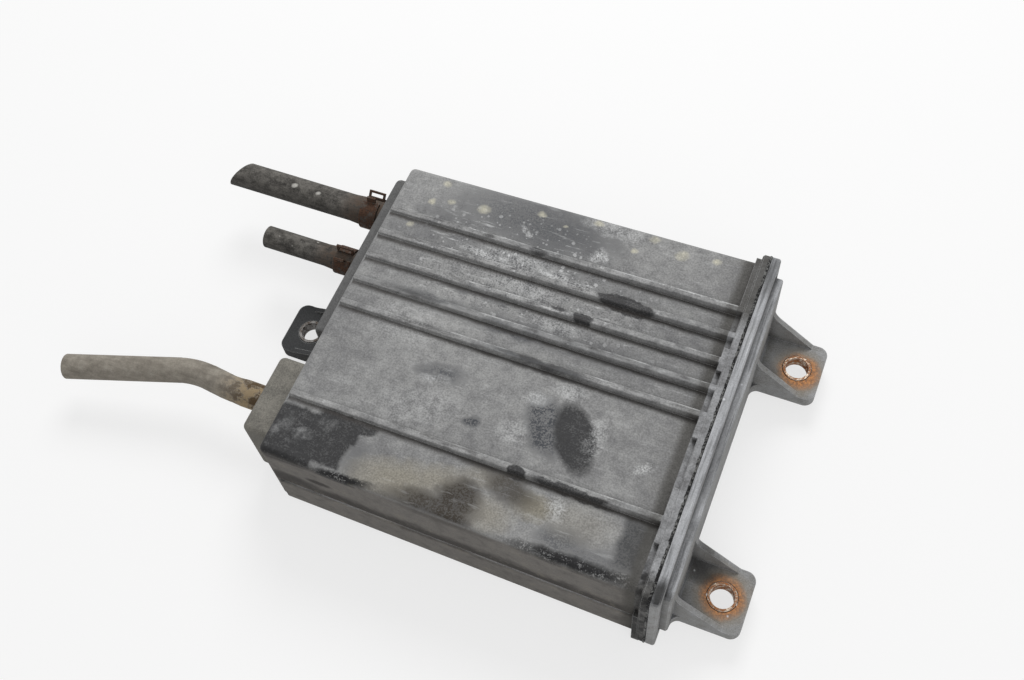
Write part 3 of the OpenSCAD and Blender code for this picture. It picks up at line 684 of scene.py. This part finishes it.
    def pale_marks(self, tree: Tree, colour: Wire, parts: tuple[Wire, Wire, Wire, Wire, Wire]) -> Wire:
        """Adds scuffs, haze, specks and lichen.

        Args:
            tree: Tree of the material.
            colour: Colour so far.
            parts: Fine, mottled and drawn-out noise, and the masks of faces that look up and of
                wiped patches.

        Returns:
            The new colour.
        """
        fine, mottle, drawn, up, wiped = parts
        dusty = up * (1.0 - 0.85 * wiped)
        haze = tree.blots(self.haze_patches(), UNEVEN) * (0.5 * fine + 0.7 * mottle).step(0.45, 0.75) * up
        colour = tree.blend(haze * 0.9, colour, self.pale)
        smear = tree.blots(self.smudges(), UNEVEN) * mottle.step(0.35, 0.65) * up
        colour = tree.blend(smear, colour, self.pale)
        crowd = tree.blots([self.scuffed_part], UNEVEN)
        grains = (0.7 * fine + 0.5 * mottle).step(0.6, 0.46) * crowd * dusty
        colour = tree.blend(grains * 0.45, colour, self.bluish)
        scuffs = drawn.step(0.56, 0.7) * (0.22 + 0.6 * crowd) * dusty
        colour = tree.blend(scuffs, colour, self.pale)
        dots = tree.specks(3.0, 1.0, 0.24) * (0.08 + 0.92 * crowd) | tree.specks(8.0, 1.1, 0.1) * 0.5
        dots = dots | tree.specks(1.7, 0.62, 0.22) * crowd * 0.8
        colour = tree.blend(dots * dusty * 0.75, colour, self.pale)
        growth = tree.blots(self.lichen_spots(), SLIGHT) * (0.6 + 0.4 * mottle.step(0.4, 0.6)) * up
        return tree.blend(growth, colour, self.lichen)

    def wall_marks(self, tree: Tree, colour: Wire, parts: tuple[Wire, Wire, Wire, Wire]) -> Wire:
        """Adds painted shade mixed with grime above the side bands, the walls' grime and the dark marks of
        the front wall.

        Args:
            tree: Tree of the material.
            colour: Colour so far.
            parts: Height, mottled and fine noise, and the mask of the long walls.

        Returns:
            The new colour.
        """
        height, mottle, fine, wall = parts
        # Painted shade mixed with grime: a dark line along the wall just above the side band.
        rise = height - self.band_z
        reach = rise - (mottle - 0.5) * 6.0
        band_shade = rise.step(-0.2, 0.8) * reach.step(11.5, 3.0)
        colour = tree.blend(band_shade * wall * 0.9, colour, self.soot_and_shade)
        grime = 0.7 * mottle + 0.4 * fine
        colour = tree.blend(grime.step(0.54, 0.7) * wall * 0.5, colour, self.soot_and_shade)
        colour = tree.blend(grime.step(0.52, 0.4) * wall * 0.35, colour, self.beige)
        marks = tree.blots(self.wall_patches(), SLIGHT, Side.FRONT)
        front = tree.facing("Y").step(0.0, -0.5)
        return tree.blend(marks * wall * front, colour, self.soot_and_shade)

    def regions(self, tree: Tree, colour: Wire, parts: tuple[Wire, Wire, Wire]) -> Wire:
        """Adds soil and painted shade along the flange, and colours the flange, the port pad and the end
        lug.

        Args:
            tree: Tree of the material.
            colour: Colour so far.
            parts: Height, mottled and cloudy noise.

        Returns:
            The new colour.
        """
        height, mottle, cloud = parts
        along = tree.axis("X")
        across = tree.axis("Y")
        # Soil with painted shade along the flange, and painted shade in the gap at its foot.
        soil_and_shade = along.step(*self.soil_and_shade_x) * (0.5 * cloud + 0.6 * mottle).step(0.35, 0.7)
        gap = (along + 4.0 * mottle).step(*self.gap_x)
        colour = tree.blend(soil_and_shade * 0.5 | gap * 0.8, colour, self.soil_and_shade)
        rim = along.step(self.flange_x - 0.2, self.flange_x + 0.2)
        ends = across.step(*self.soiled_back_y) | across.step(*self.soiled_front_y)
        band = tree.blend(mottle.step(0.3, 0.7), self.flange, self.aged)
        band = tree.blend(ends * 0.8, band, self.soil_and_shade)
        smear = across.step(*self.smeared_y) * mottle.step(0.38, 0.58)
        band = tree.blend(smear * 0.8, band, self.black)
        colour = tree.blend(rim, colour, band)
        colour = tree.blend(along.step(self.pad_x + 0.2, self.pad_x - 0.2) * 0.75, colour, self.pad)
        end_lug = along.step(self.lug_x + 0.5, self.lug_x - 0.5)
        end_lug = end_lug * height.step(self.lug_z + 0.5, self.lug_z - 0.5)
        return tree.blend(end_lug * 0.9, colour, self.lug)

    def rib_marks(self, tree: Tree, colour: Wire, parts: tuple[Wire, Wire, Wire, Wire]) -> Wire:
        """Adds painted shadow at the ribs' front feet, the grime on their tops, painted highlights on their
        back edges and rubbed wear on their tops.

        Distances ahead run forwards from the middle of the nearest rib.

        Args:
            tree: Tree of the material.
            colour: Colour so far.
            parts: Height, mottled and drawn-out noise, and the mask of wiped patches.

        Returns:
            The new colour.
        """
        height, mottle, drawn, wiped = parts
        along = tree.axis("X")
        across = tree.axis("Y")
        behind = self.first_rib_y + self.rib_pitch / 2.0 - across
        turns = tree.node("ShaderNodeMath", {"operation": "FRACT"}, {0: behind / self.rib_pitch})
        group = across.step(*self.rib_group_front_y) * across.step(*self.rib_group_back_y)
        casing = height.step(self.top_z - 0.4, self.top_z - 0.1)
        casing = casing * along.step(self.flange_x + 0.2, self.flange_x - 0.2)
        single = self.drain_rib_y - across
        for ahead, share in ((turns * self.rib_pitch - self.rib_pitch / 2.0, group), (single, 1.0 - group)):
            # Painted shadow: a dark band along the front foot of each rib.
            shore = ahead - 3.0 * (mottle - 0.5)
            darkening = ahead.step(1.7, 2.5) * shore.step(self.rib_foot + 2.6, self.rib_foot + 0.1)
            colour = tree.blend(darkening * casing * share * (0.6 + 0.5 * drawn), colour, self.soot_and_shade)
            # Painted highlight along each rib's back edge, and rubbed wear on its flat top.
            crown = ahead.step(-1.7, -1.2) * ahead.step(-0.4, -1.0)
            flat = ahead.step(-1.8, -1.4) * ahead.step(1.7, 1.3)
            flat = flat * height.step(self.top_z + 0.6, self.top_z + 1.2)
            rubbed_and_highlit = crown * drawn.step(0.44, 0.62) * 0.6 | flat * mottle.step(0.3, 0.7) * 0.22
            rubbed_and_highlit = rubbed_and_highlit * casing * share * (1.0 - 0.9 * wiped)
            grimy = flat * drawn.step(0.48, 0.36) * casing * share
            colour = tree.blend(grimy * 0.5, colour, self.soot_and_shade)
            colour = tree.blend(rubbed_and_highlit * along.step(*self.rubbed_and_highlit_x), colour, self.pale)
        return colour


@dataclass(frozen=True)
class CoverPlastic(Finish):
    """Grey moulded plastic, paler along its ledges, with rust stains round the collars and painted shade in
    the corners by the lugs.
    """

    name: str = "weathered_cover"
    aged: Colour = tone(134, 133, 130)
    ledge: Colour = tone(184, 186, 190)
    scored: Colour = tone(112, 113, 115)
    dark: Colour = tone(54, 54, 54)
    rust: Colour = tone(204, 142, 90)
    old_rust: Colour = tone(150, 100, 64)
    halo: Colour = tone(138, 122, 96)
    pale: Colour = tone(222, 224, 227)
    lug_x: float = -17.0
    bolt_y: float = 61.0
    halo_r: float = 10.8
    stain_r: float = 9.2

    def rust_rings(self, radius: float, feather: float) -> list[Blot]:
        """Lists the rust stains: round the front collar, and to one side of the back one."""
        return [
            Blot(0.2, -self.bolt_y, radius, radius, 0.0, 1.0, feather),
            Blot(1.6, self.bolt_y - 1.4, radius, 0.95 * radius, 0.0, 1.0, feather),
        ]

    def paint(self, tree: Tree) -> None:
        """Adds the finish's nodes to a tree.

        Args:
            tree: Tree of the material.
        """
        up = tree.facing("Z").step(0.3, 0.8)
        fine = tree.grain(0.7, 2.0, 0.6)
        mottle = tree.grain(7.0, 6.0, 0.66)
        streaks = tree.grain(1.1, 4.0, 0.62, (1.0, 18.0, 18.0))
        ledges = up * tree.axis("X").step(self.lug_x + 0.5, self.lug_x - 0.5)
        colour = tree.blend((0.8 * mottle + 0.3 * fine).step(0.35, 0.75) * 0.45, self.aged, self.ledge)
        colour = tree.blend(ledges * (0.45 + 0.5 * mottle), colour, self.ledge)
        colour = tree.blend(ledges * streaks.step(0.52, 0.34) * 0.75, colour, self.scored)
        colour = tree.blend(ledges * streaks.step(0.58, 0.72) * 0.6, colour, self.pale)
        # Painted shade: corners by the lugs and gussets are darkened by their occlusion.
        corner_shade = tree.creases(9.0).step(0.28, 0.8)
        colour = tree.blend(corner_shade * 0.75, colour, self.dark)
        worn = tree.edges(MOULDED_R) * (0.3 + 0.7 * mottle) * (1.0 - corner_shade)
        colour = tree.blend(worn * 0.7, colour, self.pale)
        colour = self.rusted(tree, colour, up)
        smears_and_shade = [
            Blot(-23.0, -85.0, 4.0, 6.0, 0.0, 0.95, 0.5),
            Blot(-24.0, 80.0, 3.0, 10.0, 0.0, 0.6, 0.7),
            Blot(-19.0, -20.0, 2.0, 14.0, 0.0, 0.35, 0.8),
            # Painted shade in the inner corners of the lugs.
            Blot(-12.0, -52.5, 5.5, 5.0, 0.0, 0.75, 0.8),
            Blot(-13.0, 54.0, 4.0, 4.0, 0.0, 0.4, 0.8),
        ]
        colour = tree.blend(tree.blots(smears_and_shade, 2.4) * up, colour, self.dark)
        dots = tree.specks(5.0, 0.9, 0.08) * up
        colour = tree.blend(dots * 0.7, colour, self.pale)
        colour = tree.shade(colour, 0.66 + 0.68 * fine)
        tree.finish(colour, 0.82, 0.5 * mottle + 0.5 * fine, relief_depth=0.12, soft=MOULDED_R)

    def rusted(self, tree: Tree, colour: Wire, up: Wire) -> Wire:
        """Adds the rust that ran out of the collars.

        Args:
            tree: Tree of the material.
            colour: Colour so far.
            up: Mask of faces that look up.

        Returns:
            The new colour.
        """
        crust = tree.grain(1.6, 5.0, 0.7)
        halo = tree.blots(self.rust_rings(self.halo_r, 0.35), SLIGHT) * up
        ring = tree.blots(self.rust_rings(self.stain_r, 0.22), 0.8) * up
        ring = ring * (0.65 + 0.35 * crust.step(0.3, 0.6))
        colour = tree.blend(halo * 0.7, colour, self.halo)
        stain = tree.blend(crust.step(0.4, 0.6), self.old_rust, self.rust)
        return tree.blend(ring * 0.92, colour, stain)


@dataclass(frozen=True)
class BoxPlastic(Finish):
    """Moulded plastic under a beige-grey film of dust, with painted shade in its creases."""

    name: str = "dusty_box"
    aged: Colour = tone(102, 100, 95)
    dust: Colour = tone(138, 135, 127)
    # Colour of the painted shade in the creases.
    darkening: Colour = tone(74, 68, 60)

    def paint(self, tree: Tree) -> None:
        """Adds the finish's nodes to a tree.

        Args:
            tree: Tree of the material.
        """
        fine = tree.grain(0.6, 2.0, 0.6)
        mottle = tree.grain(8.0, 6.0, 0.66)
        up = tree.facing("Z").step(-0.2, 0.8)
        film = (0.8 * mottle + 0.4 * fine).step(0.35, 0.8) * (0.4 + 0.6 * up)
        colour = tree.blend(film, self.aged, self.dust)
        # Painted shade: creases and the gap beside the casing are darkened by their occlusion.
        colour = tree.blend(tree.creases(5.0).step(0.15, 0.7) * 0.7, colour, self.darkening)
        colour = tree.blend(tree.edges(MOULDED_R) * 0.5 * mottle, colour, self.dust)
        colour = tree.shade(colour, 0.68 + 0.64 * fine)
        tree.finish(colour, 0.86, 0.5 * mottle + 0.5 * fine, relief_depth=0.12, soft=MOULDED_R)


@dataclass(frozen=True)
class HoseRubber(Finish):
    """Aged rubber, grainy and grey with dust on top, painted lighter there also as a highlight, with rusty
    mud near the clamp.
    """

    name: str = "aged_rubber"
    rubber: Colour = tone(50, 48, 46)
    worn: Colour = tone(118, 115, 110)
    mud: Colour = tone(80, 64, 52)
    speck: Colour = tone(192, 190, 184)
    mud_x: Span = (-247.0, -233.0)
    specks: tuple[Triple, ...] = ((-271.5, 62.1, 1.5), (-257.4, 61.6, 1.2))

    def paint(self, tree: Tree) -> None:
        """Adds the finish's nodes to a tree.

        Args:
            tree: Tree of the material.
        """
        fine = tree.grain(0.6, 3.0, 0.65)
        mottle = tree.grain(4.5, 6.0, 0.68)
        lines = tree.grain(1.4, 4.0, 0.6, (9.0, 1.0, 1.0))
        up = tree.facing("Z").step(-0.1, 0.9)
        film = (0.75 * mottle + 0.25 * lines + 0.2 * fine).step(0.4, 0.8)
        # Dust on the upper side, painted lighter there also as a highlight.
        colour = tree.blend(film * (0.4 + 0.6 * up), self.rubber, self.worn)
        near = tree.axis("X").step(*self.mud_x)
        colour = tree.blend(near * (0.8 * mottle + 0.4 * fine).step(0.45, 0.7) * 0.85, colour, self.mud)
        spots = [Blot(x, y, size, 0.7 * size, 20.0, 0.9, 0.4) for x, y, size in self.specks]
        colour = tree.blend(tree.blots(spots, 0.4) * up, colour, self.speck)
        dots = tree.specks(4.0, 0.6, 0.1) * up
        colour = tree.blend(dots * 0.55, colour, self.speck)
        colour = tree.shade(colour, 0.5 + fine)
        tree.finish(colour, 0.9, 0.3 * lines + 0.7 * fine, relief_depth=0.14, soft=RUBBER_R)


@dataclass(frozen=True)
class DrainHoseRubber(Finish):
    """Rubber hidden under beige-grey dust, dirty brown where it leaves the box."""

    name: str = "dusty_rubber"
    rubber: Colour = tone(122, 116, 107)
    dust: Colour = tone(164, 158, 147)
    darkening: Colour = tone(90, 74, 54)
    ochre: Colour = tone(156, 138, 110)
    dirt_x: Span = (-260.0, -237.0)

    def paint(self, tree: Tree) -> None:
        """Adds the finish's nodes to a tree.

        Args:
            tree: Tree of the material.
        """
        fine = tree.grain(0.6, 3.0, 0.65)
        mottle = tree.grain(5.5, 6.0, 0.66)
        lines = tree.grain(1.6, 4.0, 0.6, (9.0, 1.0, 1.0))
        up = tree.facing("Z").step(-0.4, 0.8)
        film = (0.7 * mottle + 0.3 * lines).step(0.3, 0.75)
        colour = tree.blend(film * (0.35 + 0.65 * up), self.rubber, self.dust)
        near = tree.axis("X").step(*self.dirt_x)
        colour = tree.blend(near * mottle.step(0.44, 0.56), colour, self.ochre)
        colour = tree.blend(near * (mottle + 0.3 * fine).step(0.7, 0.56), colour, self.darkening)
        colour = tree.shade(colour, 0.66 + 0.68 * fine)
        tree.finish(colour, 0.9, 0.3 * lines + 0.7 * fine, relief_depth=0.12, soft=RUBBER_R)


@dataclass(frozen=True)
class Steel(Finish):
    """Steel with rust spread over it by a share, and edges that are rubbed bright and painted lighter as
    highlights.
    """

    metal: Colour
    rust: Colour
    deep_rust: Colour
    edge: Colour
    spread: float
    rough: float

    def paint(self, tree: Tree) -> None:
        """Adds the finish's nodes to a tree.

        Args:
            tree: Tree of the material.
        """
        fine = tree.grain(0.6, 3.0)
        mottle = tree.grain(2.4, 5.0, 0.68)
        level = 0.75 * mottle + 0.25 * fine
        # Edges are rubbed bright and also painted lighter as a highlight.
        rubbed_and_highlit = tree.edges(STEEL_R) * (0.5 + 0.5 * mottle)
        rusty = level.step(0.72 - 0.5 * self.spread, 0.84 - 0.5 * self.spread) * (1.0 - rubbed_and_highlit)
        crust = tree.blend((0.5 * fine + 0.5 * mottle).step(0.38, 0.6), self.deep_rust, self.rust)
        colour = tree.blend(rusty, self.metal, crust)
        colour = tree.blend(rubbed_and_highlit * 0.8, colour, self.edge)
        tree.feed(tree.shader.inputs["Metallic"], 0.85 - 0.85 * rusty)
        rough = self.rough + (0.9 - self.rough) * rusty
        tree.finish(colour, rough, level, relief_depth=0.15, soft=STEEL_R)


@dataclass(frozen=True)
class SeamPlastic(Finish):
    """Black crumbly plastic squeezed out of the weld, with grey dust on its crumbs."""

    name: str = "weld_seam"
    plastic: Colour = tone(24, 24, 25)
    dust: Colour = tone(150, 150, 148)

    def paint(self, tree: Tree) -> None:
        """Adds the finish's nodes to a tree.

        Args:
            tree: Tree of the material.
        """
        crumbs = tree.grain(1.0, 4.0, 0.7)
        patches = tree.grain(9.0, 3.0)
        dusty = (crumbs * 0.8 + patches * 0.5).step(0.6, 0.75)
        colour = tree.blend(dusty * 0.6, self.plastic, self.dust)
        tree.finish(colour, 0.85, crumbs, relief_depth=0.25, soft=GRAIN_R)


@dataclass(frozen=True)
class Granular(Finish):
    """Matt stuff made of grains or fibres, in two tones."""

    low: Colour
    high: Colour
    size: float
    depth: float

    def paint(self, tree: Tree) -> None:
        """Adds the finish's nodes to a tree.

        Args:
            tree: Tree of the material.
        """
        lumps = tree.grain(self.size, 3.0, 0.6)
        colour = tree.blend(lumps.step(0.3, 0.7), self.low, self.high)
        tree.finish(colour, 0.92, lumps, relief_depth=self.depth, soft=GRAIN_R)


def new_piece(
    name: str, mesh: bmesh.types.BMesh, material: bpy.types.Material
) -> bpy.types.Object:
    """Makes an object of a finished mesh and lets it ride on the part.

    Args:
        name: Name of the piece.
        mesh: Finished mesh, in metres. It is freed.
        material: Its material.

    Returns:
        The new object.
    """
    bmesh.ops.recalc_face_normals(mesh, faces=mesh.faces)
    data = bpy.data.meshes.new(name)
    mesh.to_mesh(data)
    mesh.free()
    data.materials.append(material)
    for face in data.polygons:
        face.use_smooth = True
    piece = bpy.data.objects.new(name, data)
    bpy.context.scene.collection.objects.link(piece)
    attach(piece, BODY)
    log.info("%s: %d faces", name, len(data.polygons))
    return piece


def dress(material: bpy.types.Material, *names: str) -> None:
    """Gives solids of the part a material.

    Args:
        material: The material.
        names: Names of the solids.
    """
    for name in names:
        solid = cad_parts[name]
        solid.data.materials.clear()
        solid.data.materials.append(material)
        log.info("%s: %s", name, material.name)


@dataclass
class Casing:
    """The moulded casing with its flange, and the weld seam squeezed out between casing and cover."""

    bead_x: float = -26.4
    bead_half_y: float = 89.7
    bead_half_z: float = 29.2
    bead_corner: float = 4.2
    bead_middle_z: float = 23.1
    bead_r: float = 0.55
    bead_wide: float = 1.25
    bead_sides: int = 10
    bead_step: float = 0.7
    corner_steps: int = 6
    merge_gap: float = 0.02
    bead_rough: float = 0.28
    crumb_rate: float = 0.8
    grit_rate: float = 2.1
    grit_share: float = 0.6
    finish: Finish = CasingPlastic()
    seam: Finish = SeamPlastic()

    def ring(self, mesh: bmesh.types.BMesh) -> Edges:
        """Adds the bead's cross-section at the start of the top edge.

        Args:
            mesh: Mesh to add it to.

        Returns:
            The section's edges.
        """
        back = self.bead_half_y - self.bead_corner
        start = Vector((self.bead_x, back, self.bead_middle_z + self.bead_half_z))
        turn = Matrix.Translation(start * MM) @ Matrix.Rotation(math.pi / 2, 4, "X")
        turn = turn @ Matrix.Diagonal((self.bead_wide, 1.0, 1.0, 1.0))
        made = bmesh.ops.create_circle(
            mesh, segments=self.bead_sides, radius=self.bead_r * MM, matrix=turn
        )
        return list({edge for vertex in made["verts"] for edge in vertex.link_edges})

    def run(self, mesh: bmesh.types.BMesh, edges: Edges, way: Vector, length: float) -> Edges:
        """Extrudes the bead along a straight edge in short steps.

        Args:
            mesh: Mesh of the bead.
            edges: Edges of its last section.
            way: Direction of the run.
            length: Length of the run.

        Returns:
            The edges of the new last section.
        """
        steps = round(length / self.bead_step)
        for _ in range(steps):
            made = bmesh.ops.extrude_edge_only(mesh, edges=edges)["geom"]
            corners = [part for part in made if isinstance(part, bmesh.types.BMVert)]
            edges = [part for part in made if isinstance(part, bmesh.types.BMEdge)
                     and all(vertex in corners for vertex in part.verts)]
            bmesh.ops.translate(mesh, verts=corners, vec=way * (length / steps * MM))
        return edges

    def turn(self, mesh: bmesh.types.BMesh, edges: Edges, y: float, z: float) -> Edges:
        """Spins the bead round one corner of the flange.

        Args:
            mesh: Mesh of the bead.
            edges: Edges of its last section.
            y: Place of the corner's middle across the part.
            z: Height of the corner's middle.

        Returns:
            The edges of the new last section.
        """
        centre = Vector((self.bead_x, y, z)) * MM
        made = bmesh.ops.spin(
            mesh, geom=edges, cent=centre, axis=(1.0, 0.0, 0.0), angle=math.pi / 2, steps=self.corner_steps
        )
        return [part for part in made["geom_last"] if isinstance(part, bmesh.types.BMEdge)]

    def bead(self) -> bpy.types.Object:
        """Builds the weld seam round the flange.

        Returns:
            The new piece.
        """
        mesh = bmesh.new()
        edges = self.ring(mesh)
        wide = self.bead_half_y - self.bead_corner
        tall = self.bead_half_z - self.bead_corner
        upper = self.bead_middle_z + tall
        lower = self.bead_middle_z - tall
        sides = (
            ((0.0, -1.0, 0.0), 2 * wide, -wide, upper),
            ((0.0, 0.0, -1.0), 2 * tall, -wide, lower),
            ((0.0, 1.0, 0.0), 2 * wide, wide, lower),
            ((0.0, 0.0, 1.0), 2 * tall, wide, upper),
        )
        for way, length, corner_y, corner_z in sides:
            edges = self.run(mesh, edges, Vector(way), length)
            edges = self.turn(mesh, edges, corner_y, corner_z)
        bmesh.ops.remove_doubles(mesh, verts=mesh.verts, dist=self.merge_gap * MM)
        mesh.normal_update()
        lowest = CAD_BOUNDS[0][2]
        for vertex in mesh.verts:
            spot = vertex.co / MM
            lump = noise.noise(spot * self.crumb_rate) + self.grit_share * noise.noise(spot * self.grit_rate)
            vertex.co += vertex.normal * (lump * self.bead_rough * MM)
            vertex.co.z = max(vertex.co.z, lowest)
        return new_piece("weld_seam_bead", mesh, self.seam.material())

    def build(self) -> None:
        """Dresses the casing and adds its weld seam."""
        dress(self.finish.material(), "casing")
        self.bead()


@dataclass
class EndCover:
    """The end cover with its lugs and collars."""

    finish: Finish = CoverPlastic()
    rusty: Finish = Steel(
        name="rusty_collar",
        metal=tone(176, 162, 146),
        rust=tone(176, 118, 76),
        deep_rust=tone(104, 70, 50),
        edge=tone(226, 218, 206),
        spread=0.62,
        rough=0.45,
    )
    plain: Finish = Steel(
        name="dull_collar",
        metal=tone(120, 118, 116),
        rust=tone(104, 94, 86),
        deep_rust=tone(70, 64, 60),
        edge=tone(168, 166, 162),
        spread=0.5,
        rough=0.55,
    )

    def build(self) -> None:
        """Dresses the cover and the collars of all three lugs."""
        dress(self.finish.material(), "end_cover")
        dress(self.rusty.material(), "back_cover_collar", "front_cover_collar")
        dress(self.plain.material(), "end_lug_collar")


@dataclass
class Ports:
    """The drain box, the hoses and their clamps."""

    box: Finish = BoxPlastic()
    hose: Finish = HoseRubber()
    drain_hose: Finish = DrainHoseRubber()
    clamp: Finish = Steel(
        name="rusty_clamp",
        metal=tone(76, 70, 65),
        rust=tone(88, 64, 50),
        deep_rust=tone(36, 29, 26),
        edge=tone(128, 112, 100),
        spread=0.66,
        rough=0.55,
    )

    def build(self) -> None:
        """Dresses the drain box, the hoses and the clamps."""
        dress(self.box.material(), "drain_box")
        dress(self.hose.material(), "tank_hose", "purge_hose")
        dress(self.drain_hose.material(), "drain_hose")
        dress(self.clamp.material(), "tank_hose_clamp", "purge_hose_clamp")


@dataclass
class Filling:
    """What the casing holds: carbon, filter pads, pressure plates and springs."""

    carbon: Finish = Granular("carbon_grains", tone(18, 18, 18), tone(48, 48, 48), 2.0, 0.8)
    foam: Finish = Granular("filter_foam", tone(180, 174, 158), tone(214, 209, 196), 1.2, 0.5)
    plate: Finish = Granular("plate_plastic", tone(170, 170, 166), tone(188, 188, 184), 6.0, 0.05)
    spring: Finish = Steel(
        name="spring_wire",
        metal=tone(170, 170, 170),
        rust=tone(130, 100, 80),
        deep_rust=tone(90, 70, 60),
        edge=tone(190, 190, 190),
        spread=0.05,
        rough=0.35,
    )

    def build(self) -> None:
        """Dresses the inner pieces."""
        dress(self.carbon.material(), "main_carbon_bed", "second_carbon_bed")
        dress(self.foam.material(), "main_port_filter", "second_port_filter", "main_cover_filter",
              "second_cover_filter", "drain_filter")
        dress(self.plate.material(), "main_pressure_plate", "second_pressure_plate")
        dress(self.spring.material(), "main_spring_back", "main_spring_front", "second_spring")


@dataclass(frozen=True)
class Lamp:
    """Soft round lamp: its place and width in metres, and its power in watts."""

    name: str
    place: Triple
    width: float
    watts: float


@dataclass
class Studio:
    """White floor, soft light and the camera of the photograph."""

    eye: Triple = (5.3, -232.3, 518.2)
    pan: float = 28.59
    tilt: float = 30.09
    roll: float = -7.44
    focal_px: float = 1178.4
    image_px: float = 1024.0
    sensor: float = 36.0
    clip_metres: Span = (0.01, 50.0)
    floor_size: float = 6000.0
    floor_gap: float = 0.1
    floor_tone: Colour = (0.92, 0.92, 0.92)
    floor_rough: float = 0.9
    floor_glow: float = 0.7
    sky_level: float = 0.42
    aim_metres: Triple = (-0.12, 0.0, 0.02)
    lamps: tuple[Lamp, ...] = (
        Lamp("key", (-0.3, 0.85, 1.0), 0.7, 9.6),
        Lamp("fill", (0.5, -0.9, 0.9), 1.2, 3.0),
    )

    def camera(self) -> None:
        """Sets the camera at the photograph's place."""
        data = bpy.data.cameras.new("camera")
        data.sensor_width = self.sensor
        data.lens = self.focal_px / self.image_px * self.sensor
        data.clip_start, data.clip_end = self.clip_metres
        camera = bpy.data.objects.new("camera", data)
        turn = Matrix.Rotation(math.radians(self.pan), 4, "Z")
        turn = turn @ Matrix.Rotation(math.radians(self.tilt), 4, "X")
        turn = turn @ Matrix.Rotation(math.radians(self.roll), 4, "Z")
        camera.matrix_world = Matrix.Translation(Vector(self.eye) * MM) @ turn
        bpy.context.scene.collection.objects.link(camera)
        bpy.context.scene.camera = camera

    def light(self, lamp: Lamp) -> None:
        """Adds one lamp that looks at the part's middle.

        Args:
            lamp: Values of the lamp.
        """
        data = bpy.data.lights.new(lamp.name, "AREA")
        data.shape = "DISK"
        data.size = lamp.width
        data.energy = lamp.watts
        light = bpy.data.objects.new(lamp.name, data)
        aim = Vector(self.aim_metres) - Vector(lamp.place)
        turn = aim.to_track_quat("-Z", "Y").to_matrix().to_4x4()
        light.matrix_world = Matrix.Translation(lamp.place) @ turn
        bpy.context.scene.collection.objects.link(light)

    def floor(self) -> None:
        """Lays the floor under the part, white to the camera and in reflections, with the part's shadow."""
        mesh = bmesh.new()
        low = CAD_BOUNDS[0][2] - self.floor_gap * MM
        bmesh.ops.create_grid(mesh, x_segments=1, y_segments=1, size=self.floor_size / 2 * MM,
                              matrix=Matrix.Translation((0.0, 0.0, low)))
        data = bpy.data.meshes.new("floor")
        mesh.to_mesh(data)
        mesh.free()
        tree = Tree("floor_white")
        tree.feed(tree.shader.inputs["Base Color"], self.floor_tone)
        tree.feed(tree.shader.inputs["Roughness"], self.floor_rough)
        tree.feed(tree.shader.inputs["Specular IOR Level"], 0.0)
        seen = tree.background_rays()
        white = tree.node("ShaderNodeEmission", {}, {"Color": WHITE, "Strength": 1.0})
        both = tree.node("ShaderNodeMixShader", {}, {0: seen * self.floor_glow, 1: tree.surface, 2: white})
        tree.feed(tree.output.inputs["Surface"], both)
        data.materials.append(tree.material)
        floor = bpy.data.objects.new("floor", data)
        bpy.context.scene.collection.objects.link(floor)

    def sky(self) -> None:
        """Lights the scene evenly from all round, white to the camera and in reflections."""
        world = bpy.data.worlds.new("studio")
        bpy.context.scene.world = world
        nodes = Nodes(world, "ShaderNodeOutputWorld")
        strength = nodes.background_rays() | self.sky_level
        glow = nodes.node("ShaderNodeBackground", {}, {"Color": WHITE, "Strength": strength})
        nodes.feed(nodes.output.inputs["Surface"], glow)

    def build(self) -> None:
        """Sets up the camera, the floor and the light."""
        bpy.context.scene.view_settings.view_transform = "Standard"
        self.camera()
        self.floor()
        self.sky()
        for lamp in self.lamps:
            self.light(lamp)


def main() -> None:
    """Builds the studio and dresses every piece in order."""
    logging.basicConfig(level=logging.INFO, format="%(message)s")
    Studio().build()
    for assembly in (Casing(), EndCover(), Ports(), Filling()):
        assembly.build()
        log.info("%s is dressed", type(assembly).__name__)


if __name__ == "__main__":
    main()
